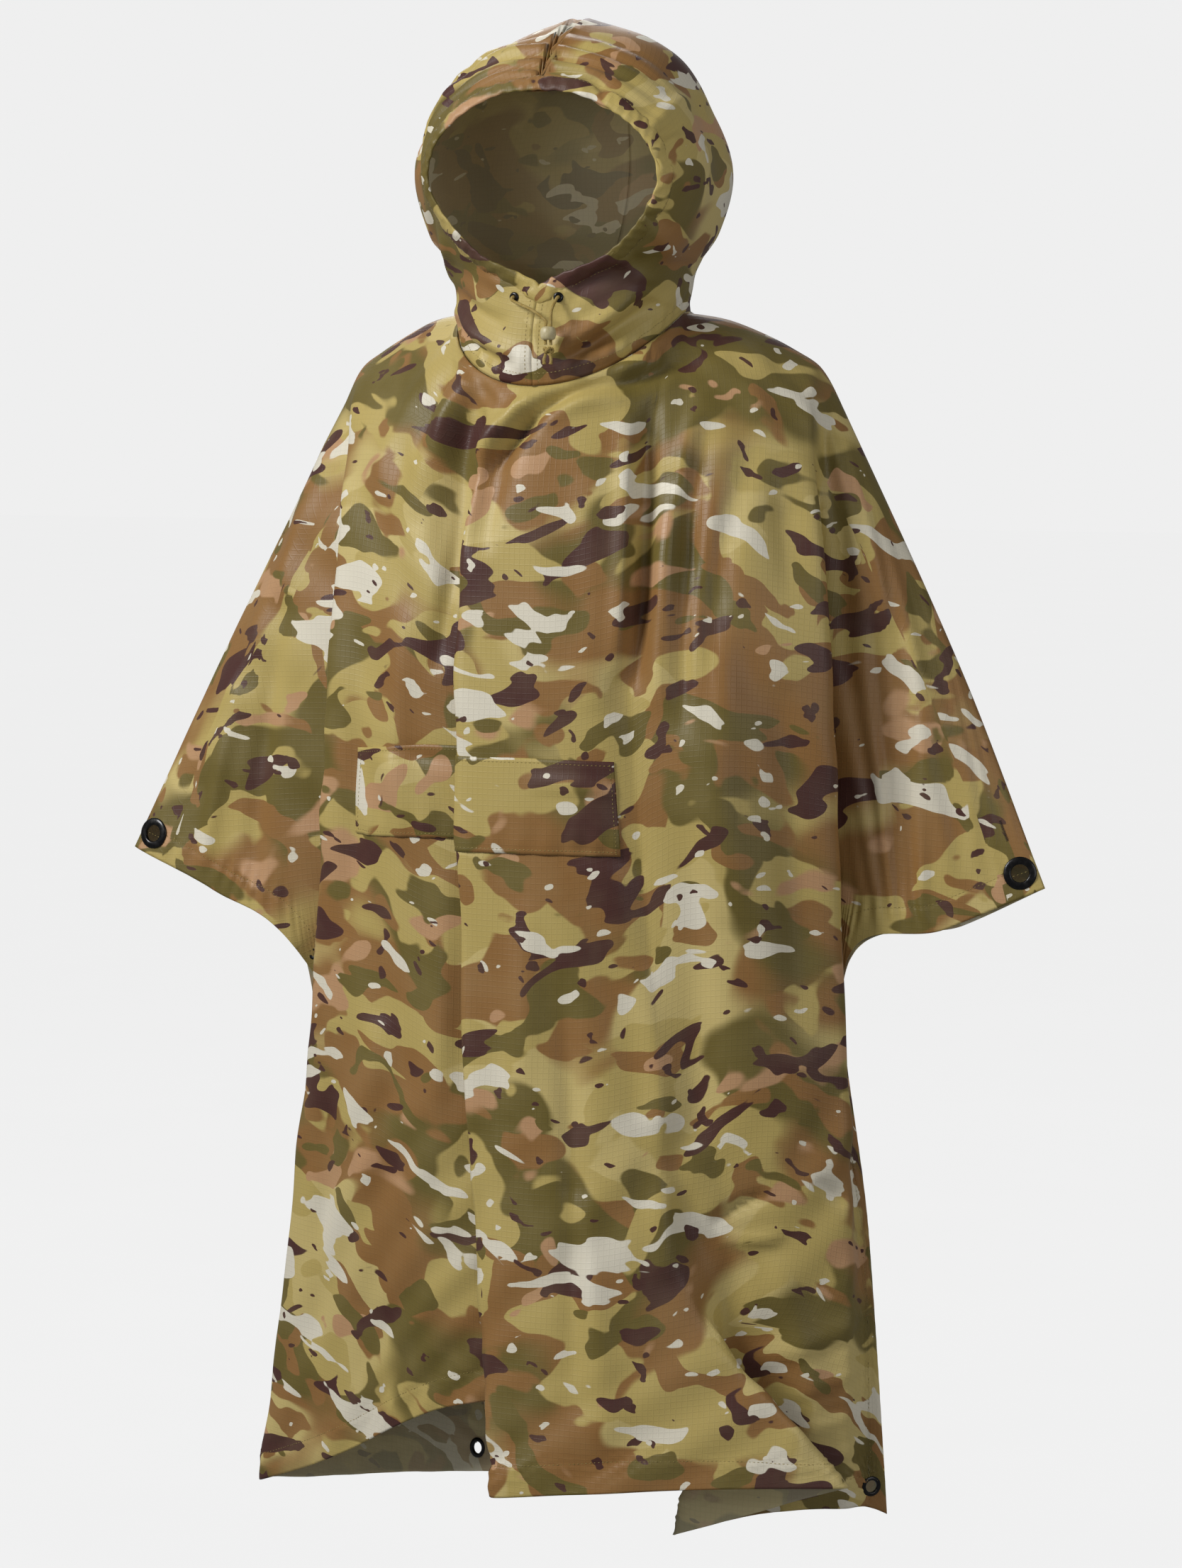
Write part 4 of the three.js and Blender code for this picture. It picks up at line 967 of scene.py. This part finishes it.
# Creases of the hood's front and back in the same columns as the panels' creases
hoodFrontCreases = [
    (20, -22, 98, 36, 6, -7.5, -6), (16, -8, 92, 50, 7, 5, -6), (44, -22, 110, 10, 7, 5, -4),
    (60, -30, 116, -4, 6, -5, -4), (18, 22, 78, 66, 8, -3.5, 5), (-14, -24, -92, 18, 7, -5.5, 7),
    (-20, -12, -96, 34, 8, 4.5, 6), (-26, 14, -98, 48, 8, -4, 5), (-14, 36, -60, 64, 8, 3, -3),
    (104, 168, 62, 232, 5, -3.5, 4), (106, 170, 128, 232, 6, 3, -3), (108, 164, 136, 190, 5, -3, 2),
    (108, 158, 134, 140, 6, 3, 2), (106, 152, 122, 96, 6, -3.5, -4), (100, 120, 116, 70, 7, 3, 4),
    (96, 96, 84, 56, 6, -3, 3), (74, 84, 98, 50, 6, 2.5, -3), (-104, 120, -118, 70, 7, -3, -4),
    (-98, 96, -108, 52, 7, 3, 3), (-120, 150, -128, 210, 7, -3, 3), (-110, 190, -84, 250, 7, 3, -4),
    (-60, 262, 40, 276, 7, -3, 4), (-76, 246, 60, 262, 6, 3, 5),
]
hoodBackCreases = [
    (20, 60, 84, 120, 12, 3.5, 6), (-24, 66, -90, 130, 12, 3.5, -6), (30, 100, 110, 180, 12, -3, 6),
    (-36, 108, -112, 186, 12, -3, -6), (10, 40, 60, 60, 9, -3, 4), (-12, 42, -64, 64, 9, -3, -4),
    (24, 200, 80, 246, 10, 3, 5), (-28, 204, -84, 244, 10, 3, -5),
]
# Rolls above the face opening: distance from its edge, half width and height in millimetres
brimRolls = [(21, 4.5, 3.8), (28, 2.6, -4.2), (37, 5.5, 4.6), (46, 2.8, -4.4), (57, 6, 4.4), (67, 3, -4.0),
             (79, 7.5, 3.6), (92, 4, -2.6)]


def faceEdge(side, count=160):
    return leaned(hoodGrid(side, [0.0], np.linspace(hood["chin"], 1, count))[:, 0])


def hoodRelief(side, grid, rises, seed):
    seen = leaned(grid)
    u, v = cumulative(grid, 1) * side, cumulative(grid, 0)
    toEdge = np.min(lengthOf(seen[:, :, None, :] - faceEdge(side)[None, None, ::2, :]), axis=2)
    fromBack = cumulative(grid[:, ::-1], 1)[:, ::-1]
    calm = np.clip(fromBack / 0.03, 0, 1) * np.clip(v / 0.02, 0, 1)
    calm = calm * np.clip((1 - rises)[:, None] / 0.06, 0, 1)
    calm = calm * np.clip((lengthOf(seen - np.array(cordEyeletPlaces[side][0])) - 0.006) / 0.014, 0, 1)
    height = 1.4 * creaseHeight(seen, hoodFrontCreases, calm * (grid[..., 1] < -0.03))
    height += 1.3 * creaseHeight(seen, hoodBackCreases, calm * (grid[..., 1] > 0.0))
    top = np.clip((seen[..., 2] - 0.13) / 0.06, 0, 1) * np.clip((0.13 - seen[..., 0]) / 0.08, 0, 1)
    sway = 0.006 * np.sin(seen[..., 0] / 0.034) + 0.05 * (seen[..., 0] - 0.01)
    for distance, width, depth in brimRolls:
        uneven = 0.7 + 0.3 * np.sin(seen[..., 0] / 0.027 + distance)
        height += depth * mm * uneven * top * np.exp(-((toEdge + sway - distance * mm) / (width * mm)) ** 2)
    height += waviness(u, v, seed, 0.0013) * calm * np.clip(np.abs(u) / 0.02, 0, 1)
    height -= 0.0035 * np.exp(-((v[-1:] - v) / 0.016) ** 2)
    slump = 0.0030 + 0.0016 * np.sin(u / 0.031 + side) * np.sin(u / 0.013)
    height += slump * np.exp(-((v - 0.02) / 0.013) ** 2) * np.clip(v / 0.006, 0, 1)
    return height + 0.0007 * np.sin(u / 0.0026) * np.exp(-((v - 0.012) / 0.01) ** 2), u, v


def makeHood(side, name, seed, shift):
    rises = np.linspace(0, 1, hood["rows"])
    grid = hoodGrid(side, np.linspace(0, 1, hood["columns"]), rises)
    normals = gridNormals(grid, -side)
    normals *= np.sign(np.mean(np.sum(normals * (grid - np.array([0, -0.03, 0.12])), -1)))
    toCrown = cumulative(grid, 0)
    normals[..., 0] *= np.clip((toCrown[-1:] - toCrown) / 0.03, 0, 1)
    normals[:, -1, 0] = 0
    normals[rises <= hood["chin"], 0, 0] = 0
    normals /= np.maximum(lengthOf(normals), 1e-9)[..., None]
    height, u, v = hoodRelief(side, grid, rises, seed)
    points = grid + normals * height[..., None]
    points[..., 0] = side * np.maximum(side * points[..., 0], 0.00012)
    points = leaned(points)
    faces = gridFaces(*grid.shape[:2], True)
    spot, facing = cordEyeletPlaces[side]
    faces = holedFaces(points, faces, [(spot, facing,
                                        (eyelets["cord"]["outer"] + eyelets["cord"]["hole"]) / 2 * mm)])
    fresh = gridNormals(points, 1)
    if np.mean(np.sum(fresh * normals, -1)) < 0:
        faces, fresh = faces[:, ::-1], -fresh
    uvs = np.stack([u + shift[0], v + shift[1]], -1)
    thing = meshOf(name, points, faces, uvs, [hoodOutside, hoodInside])
    thicken(thing, clothSheet["thickness"])
    chinRows = rises < hood["chin"] - 0.01
    lines = [stitchLine(*lineInside(points[:-3], fresh[:-3], 0.006, "high")),
             stitchLine(*lineInside(points[chinRows], fresh[chinRows], 0.006, "low")),
             stitchLine(*lineInside(points, fresh, 0.011, "top"))]
    return thing, stitchPiece(name + "_stitching", lines), points, fresh


def cordEyeletPlace(side):
    size = eyelets["cord"]
    rounds = np.arange(0, 1, 0.001)
    line = leaned(hoodGrid(side, rounds, [size["rise"]]))[0]
    k = int(np.argmax(side * (line[:, 0] - size["centre"] * mm) >= size["sideways"] * mm))
    patch = hoodGrid(side, [max(rounds[k] - 0.01, 0), rounds[k] + 0.01],
                     [size["rise"] - 0.01, size["rise"] + 0.01])
    normal = Vector(np.cross(patch[0, 1] - patch[0, 0], patch[1, 0] - patch[0, 0])).normalized()
    return Vector(line[k]), normal if normal.y < 0 else -normal


cordEyeletPlaces = {side: cordEyeletPlace(side) for side in (-1, 1)}
for side, label in ((-1, "right"), (1, "left")):
    point, normal = cordEyeletPlaces[side]
    node = "cord_eyelet_" + label
    print("eyelet", node, "off its solid by mm", round((point - middleOf(node)).length * 1000, 2))
    eyeletPlaces[node] = (point, normal)

hoodCloths = {}
for side, label, seed, shift in ((1, "left", 31, (0.9, 4.1)), (-1, "right", 37, (-1.7, 4.6))):
    thing, sewing, points, up = makeHood(side, "hood_cloth_" + label, seed, shift)
    hoodCloths[side] = (thing, points, up)
    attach(thing, "root")
    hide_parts("hood_" + label)
    print("hood", label, "area", round(sum(p.area for p in thing.data.polygons) / 2, 3))

casing = {"half": 0.0085, "out": 0.0030, "in": 0.0022, "inset": 0.0065, "sides": 20, "gather": 0.0011}


# The rolled casing of the drawcord, once round the face opening
def makeCasing():
    left, right = faceEdge(1, 150), faceEdge(-1, 150)
    path = np.concatenate([left, right[::-1][1:-1]])
    count = len(path)
    tangent = np.roll(path, -1, 0) - np.roll(path, 1, 0)
    tangent /= lengthOf(tangent)[:, None]
    normals = []
    for side, points, up in ((1,) + hoodCloths[1][1:], (-1,) + hoodCloths[-1][1:]):
        flatPoints, flatUp = points[:, :12].reshape(-1, 3), up[:, :12].reshape(-1, 3)
        line = left if side == 1 else right
        normals.append([flatUp[np.argmin(lengthOf(flatPoints - spot))] for spot in line])
    normal = np.concatenate([np.array(normals[0]), np.array(normals[1])[::-1][1:-1]])
    for turn in range(12):
        normal = (np.roll(normal, 1, 0) + 2 * normal + np.roll(normal, -1, 0)) / 4
    normal -= np.sum(normal * tangent, -1)[:, None] * tangent
    normal /= lengthOf(normal)[:, None]
    inward = np.cross(tangent, normal)
    middle = path.mean(0)
    if np.mean(np.sum(inward * (path - middle), -1)) < 0:
        inward = -inward
    along = np.concatenate([[0], np.cumsum(lengthOf(np.diff(path, axis=0)))])
    points, uvs = [], []
    for k in range(count):
        gather = casing["gather"] * math.sin(along[k] / 0.0023 + 2.1 * math.sin(along[k] / 0.017))
        for n in range(casing["sides"] + 1):
            angle = 2 * math.pi * n / casing["sides"]
            lift = math.sin(angle)
            ripple = gather * math.sin(2.5 * angle + along[k] / 0.008)
            tall = (casing["out"] if lift > 0 else casing["in"]) + ripple * (0.9 if lift > 0 else 0.3)
            wide = casing["half"] + 0.5 * gather
            spot = path[k] + inward[k] * (casing["inset"] + wide * math.cos(angle)) + normal[k] * lift * tall
            points.append(spot)
            uvs.append((along[k] + 7.7, 0.046 * n / casing["sides"] + 0.9))
    ring = casing["sides"] + 1
    faces = []
    for k in range(count):
        for n in range(casing["sides"]):
            a, b = k * ring + n, ((k + 1) % count) * ring + n
            faces.append((a, b, b + 1, a + 1))
    thing = meshOf("hood_casing", points, faces, uvs, [hoodOutside])
    sealSolid(thing, 1e-6)
    edge = path + inward * (casing["inset"] + casing["half"] * 0.80)
    return thing, stitchPiece("casing_stitching", [stitchLine(edge, normal, 0.0022)])


def sealSolid(thing, distance):
    data = bmesh.new()
    data.from_mesh(thing.data)
    bmesh.ops.remove_doubles(data, verts=data.verts, dist=distance)
    bmesh.ops.recalc_face_normals(data, faces=data.faces)
    data.to_mesh(thing.data)
    data.free()
    thing.data.update()


hoodCasing = makeCasing()[0]
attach(hoodCasing, "root")

print("stage: eyelets and snaps")


# A turned piece grown ring by ring from a circle: each ring is a radius and a height in metres
def turnedPiece(name, rings, sides, closed, material, smoothLevels=1):
    chosenNone()
    bpy.ops.mesh.primitive_circle_add(vertices=sides, radius=rings[0][0], location=(0, 0, rings[0][1]))
    thing = bpy.context.active_object
    thing.name = name
    bpy.ops.object.mode_set(mode="EDIT")
    bpy.ops.mesh.select_all(action="SELECT")
    for (radius, height), (nextRadius, nextHeight) in zip(rings, rings[1:]):
        bpy.ops.mesh.extrude_region_move(TRANSFORM_OT_translate={"value": (0, 0, nextHeight - height)})
        bpy.ops.transform.resize(value=(nextRadius / radius, nextRadius / radius, 1),
                                 center_override=(0, 0, nextHeight))
    bpy.ops.mesh.select_all(action="DESELECT")
    data = bmesh.from_edit_mesh(thing.data)
    for edge in data.edges:
        edge.select_set(len(edge.link_faces) == 1)
    bmesh.update_edit_mesh(thing.data)
    if closed:
        bpy.ops.mesh.bridge_edge_loops()
    else:
        bpy.ops.mesh.edge_face_add()
    bpy.ops.mesh.select_all(action="SELECT")
    bpy.ops.mesh.normals_make_consistent(inside=False)
    bpy.ops.object.mode_set(mode="OBJECT")
    if smoothLevels:
        soft = thing.modifiers.new("round", "SUBSURF")
        soft.levels = soft.render_levels = smoothLevels
        bpy.ops.object.modifier_apply(modifier=soft.name)
    bpy.ops.object.shade_smooth_by_angle(angle=math.radians(40))
    thing.data.materials.append(material)
    bpy.ops.object.transform_apply(location=True, rotation=True, scale=True)
    return thing


def chosenNone():
    for other in bpy.context.selected_objects:
        other.select_set(False)


def laidOn(thing, point, normal):
    turn = normal.to_track_quat("Z", "Y").to_matrix().to_4x4()
    thing.data.transform(Matrix.Translation(point) @ turn)
    thing.data.update()


def copyOf(thing, name):
    twin = bpy.data.objects.new(name, thing.data.copy())
    scene.collection.objects.link(twin)
    return twin


def eyeletRings(kind):
    size = eyelets[kind]
    outer, hole, half = size["outer"] * mm, size["hole"] * mm, size["height"] / 2 * mm
    wide = outer - hole
    profile = [(outer, 0), (outer, half * 0.42), (outer - wide * 0.12, half * 0.72),
               (outer - wide * 0.45, half * 0.98),
               (hole + wide * 0.22, half), (hole + wide * 0.04, half * 0.78), (hole, half * 0.4),
               (hole, -half * 0.4), (hole + wide * 0.05, -half * 0.7), (hole + wide * 0.3, -half * 0.86),
               (outer - wide * 0.3, -half * 0.8), (outer, -half * 0.45)]
    return profile


eyeletModels = {kind: turnedPiece("eyeletModel_" + kind, eyeletRings(kind), 40, True, blackEnamel)
                for kind in eyelets}
for node, (point, normal) in eyeletPlaces.items():
    kind = "cord" if "cord" in node else "wing" if "wing" in node else "corner"
    thing = copyOf(eyeletModels[kind], node.replace("eyelet", "grommet"))
    laidOn(thing, point, normal)
    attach(thing, "root")
    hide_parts(node)
for thing in eyeletModels.values():
    bpy.data.objects.remove(thing)

snap = {"radius": 6, "height": 12}


def snapModel():
    half, r = snap["height"] / 2 * mm, snap["radius"] * mm
    rings = [(r * 0.30, -half), (r * 0.72, -half), (r * 0.94, -half * 0.86), (r, -half * 0.7),
             (r * 0.62, -half * 0.62),
             (r * 0.55, half * 0.62), (r, half * 0.68), (r, half * 0.84), (r * 0.9, half * 0.97),
             (r * 0.62, half),
             (r * 0.5, half * 0.9), (r * 0.2, half * 0.9)]
    return turnedPiece("snapModel", rings, 32, False, blackEnamel)


snapStud = snapModel()
for side, label in ((-1, "right"), (1, "left")):
    node = "snap_" + label
    thing = copyOf(snapStud, "press_stud_" + label)
    laidOn(thing, middleOf(node), Vector((0, -1, 0)))
    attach(thing, "root")
    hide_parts(node)
bpy.data.objects.remove(snapStud)

print("stage: drawcord")
lock = {"x": 21, "y": -147, "z": 6, "radius": 7.2, "height": 12, "boreApart": 5, "boreRadius": 1.8}
cord = {"diameter": 0.0028, "sides": 14, "knotRadius": 4.4, "knotDrop": 9}


def smoothPath(points, count):
    points = np.array([tuple(p) for p in points])
    knots = np.concatenate([[0], np.cumsum(lengthOf(np.diff(points, axis=0)) ** 0.5)])
    t = np.linspace(0, knots[-1], count)
    return np.stack([through(knots, points[:, axis], t) for axis in range(3)], -1)


def tubePiece(name, path, radius, sides, material, taper=None):
    points, uvs, faces = [], [], []
    lengths = np.concatenate([[0], np.cumsum(lengthOf(np.diff(path, axis=0)))])
    tangent = np.gradient(path, axis=0)
    tangent /= lengthOf(tangent)[:, None]
    side = np.cross(tangent[0], (0.3, 1, 0.2))
    side /= np.linalg.norm(side)
    for k, spot in enumerate(path):
        side = side - np.dot(side, tangent[k]) * tangent[k]
        side /= np.linalg.norm(side)
        other = np.cross(tangent[k], side)
        size = radius * (taper[k] if taper is not None else 1)
        for n in range(sides + 1):
            angle = 2 * math.pi * n / sides
            points.append(spot + size * (math.cos(angle) * side + math.sin(angle) * other))
            uvs.append((n / sides, lengths[k]))
    ring = sides + 1
    for k in range(len(path) - 1):
        for n in range(sides):
            a, b = k * ring + n, (k + 1) * ring + n
            faces.append((a, a + 1, b + 1, b))
    faces.append(tuple(range(sides))[::-1])
    faces.append(tuple((len(path) - 1) * ring + n for n in range(sides)))
    thing = meshOf(name, points, faces, uvs, [material])
    sealSolid(thing, 1e-6)
    return thing


def cordRoute(side):
    start, normal = cordEyeletPlaces[side]
    bore = Vector((lock["x"] + side * lock["boreApart"] / 2, lock["y"], lock["z"])) * mm
    entry = bore.z + lock["height"] / 2 * mm
    end = bore.z - (lock["height"] / 2 + cord["knotDrop"] - cord["knotRadius"] - 0.2) * mm
    return [start - normal * 0.5 * mm, start + normal * 3 * mm,
            start + normal * 6 * mm + Vector((side * -1.5, 0, -3)) * mm,
            Vector(((start.x + 2 * bore.x) / 3, bore.y + 1 * mm, entry + 14 * mm)),
            Vector((bore.x, bore.y, entry + 5 * mm)), Vector((bore.x, bore.y, entry + 1 * mm)),
            Vector((bore.x, bore.y, entry - 4 * mm)),
            Vector((bore.x, bore.y, bore.z - (lock["height"] / 2 + 2) * mm)), Vector((bore.x, bore.y, end))]


def makeLock():
    half, r = lock["height"] / 2 * mm, lock["radius"] * mm
    rings = [(r * 0.34, -half), (r * 0.66, -half), (r * 0.84, -half * 0.86), (r * 0.97, -half * 0.5), (r, 0),
             (r * 0.97, half * 0.42), (r * 0.90, half * 0.5), (r * 0.90, half * 0.6), (r * 0.80, half * 0.84),
             (r * 0.62, half), (r * 0.3, half)]
    body = turnedPiece("lock_barrel", rings, 36, False, lockPlastic)
    laidOn(body, Vector((lock["x"], lock["y"], lock["z"])) * mm, Vector((0, 0, 1)))
    for side in (-1, 1):
        chosenNone()
        bpy.ops.mesh.primitive_cylinder_add(vertices=24, radius=lock["boreRadius"] * mm, depth=0.04,
                                            location=((lock["x"] + side * lock["boreApart"] / 2) * mm,
                                                      lock["y"] * mm, lock["z"] * mm))
        drill = bpy.context.active_object
        chosen(body)
        cut = body.modifiers.new("bore", "BOOLEAN")
        cut.object, cut.operation, cut.solver = drill, "DIFFERENCE", "EXACT"
        bpy.ops.object.modifier_apply(modifier=cut.name)
        bpy.data.objects.remove(drill)
    chosen(body)
    bpy.ops.object.shade_smooth_by_angle(angle=math.radians(35))
    return body


def makeKnot():
    centre = np.array([lock["x"], lock["y"], lock["z"] - lock["height"] / 2 - cord["knotDrop"]]) * mm
    t = np.linspace(0, 2 * math.pi, 90)
    loop = np.stack([np.sin(t) + 2 * np.sin(2 * t), np.cos(t) - 2 * np.cos(2 * t), -1.15 * np.sin(3 * t)], -1)
    loop = loop * np.array([1.35, 1.0, 1.45]) * 1.05 * mm
    knot = tubePiece("knot_cloth", loop + centre, cord["diameter"] / 2, 12, braidedCord)
    parts = [knot]
    for side in (-1, 1):
        tail = smoothPath([centre + np.array(p) * mm for p in
                           ((side * 1.6, -0.4, -1), (side * 2.4, -0.8, -4.5), (side * 3.4, -1.6, -8.5),
                            (side * 3.0, -1.8, -12.5))], 24)
        swell = np.ones(24)
        swell[-4:] = (1.05, 1.15, 1.25, 1.1)
        parts.append(tubePiece("tail", tail, cord["diameter"] / 2, 12, braidedCord, swell))
    chosenNone()
    for part in parts:
        part.select_set(True)
    bpy.context.view_layer.objects.active = knot
    bpy.ops.object.join()
    knot.name = "drawcord_knot"
    return knot


lockBarrel, cordKnot = makeLock(), makeKnot()
for thing, node, slotName in ((lockBarrel, "cord_lock", "lock"), (cordKnot, "cord_knot", "cord")):
    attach(thing, "root")
    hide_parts(node)
for side, label in ((-1, "right"), (1, "left")):
    route = smoothPath(cordRoute(side), 60)
    thing = tubePiece("cord_" + label, route, cord["diameter"] / 2, cord["sides"], braidedCord)
    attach(thing, "root")
    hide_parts("drawcord_" + label)

print("stage: floor and lights")
studio = {"floor": -1.52, "size": 60, "pale": 0.863,
          "key": {"place": (-2.3, -2.9, 2.0), "size": 1.3, "power": 150},
          "fill": {"place": (3.4, -1.9, 0.7), "size": 2.2, "power": 30},
          "back": {"place": (-1.5, 3.4, 2.4), "size": 2.2, "power": 60},
          "hood": {"place": (0.5, -1.9, 0.05), "aim": (0.02, 0.05, 0.13), "size": 0.1, "power": 34,
                   "cone": 6.5},
          "world": 0.22, "glow": 0.16}


def makeFloor():
    chosenNone()
    bpy.ops.mesh.primitive_plane_add(size=studio["size"], location=(0, 0, studio["floor"]))
    floor = bpy.context.active_object
    floor.name = "studio_floor"
    bpy.ops.object.transform_apply(location=True)
    material, tree, shader = newMaterial("paleFloor")
    speck = noise(tree, objectVector(tree), 3, 3).outputs["Fac"]
    colour = ramped(tree, speck, 0.2, 0.8, 0.035, 0.045)
    mixed = addNode(tree, "ShaderNodeCombineColor", {0: colour, 1: colour, 2: colour}).outputs[0]
    tree.links.new(mixed, shader.inputs["Base Color"])
    shader.inputs["Roughness"].default_value = 0.9
    shader.inputs["Specular IOR Level"].default_value = 0.0
    shader.inputs["Emission Color"].default_value = (1, 1, 1, 1)
    seen = addNode(tree, "ShaderNodeLightPath").outputs["Is Camera Ray"]
    glow = addNode(tree, "ShaderNodeMapRange", {"Value": seen, "To Min": studio["glow"], "To Max": 0.848})
    tree.links.new(glow.outputs["Result"], shader.inputs["Emission Strength"])
    floor.data.materials.append(material)


def addLight(name, row):
    narrow = "cone" in row
    data = bpy.data.lights.new(name, "SPOT" if narrow else "AREA")
    data.energy = row["power"]
    if narrow:
        data.shadow_soft_size, data.spot_size, data.spot_blend = row["size"], math.radians(row["cone"]), 1.0
    else:
        data.shape, data.size = "SQUARE", row["size"]
    light = bpy.data.objects.new(name, data)
    light.location = row["place"]
    aim = Vector(row.get("aim", (0, 0, -0.4)))
    light.rotation_euler = (aim - Vector(row["place"])).to_track_quat("-Z", "Y").to_euler()
    scene.collection.objects.link(light)


makeFloor()
for name in ("key", "fill", "back", "hood"):
    addLight(name + "Light", studio[name])
world = bpy.data.worlds.new("paleStudio")
world.use_nodes = True
tree = world.node_tree
sky = tree.nodes["Background"]
sky.inputs["Color"].default_value = (studio["pale"], studio["pale"], studio["pale"], 1)
sky.inputs["Strength"].default_value = studio["world"]
plain = addNode(tree, "ShaderNodeBackground",
                {"Color": (studio["pale"], studio["pale"], studio["pale"], 1), "Strength": 1.0})
seen = addNode(tree, "ShaderNodeLightPath").outputs["Is Camera Ray"]
mixed = addNode(tree, "ShaderNodeMixShader", {0: seen, 1: sky.outputs[0], 2: plain.outputs[0]})
tree.links.new(mixed.outputs[0], tree.nodes["World Output"].inputs["Surface"])
scene.world = world
scene.view_settings.view_transform = "Standard"

print("stage: finish")
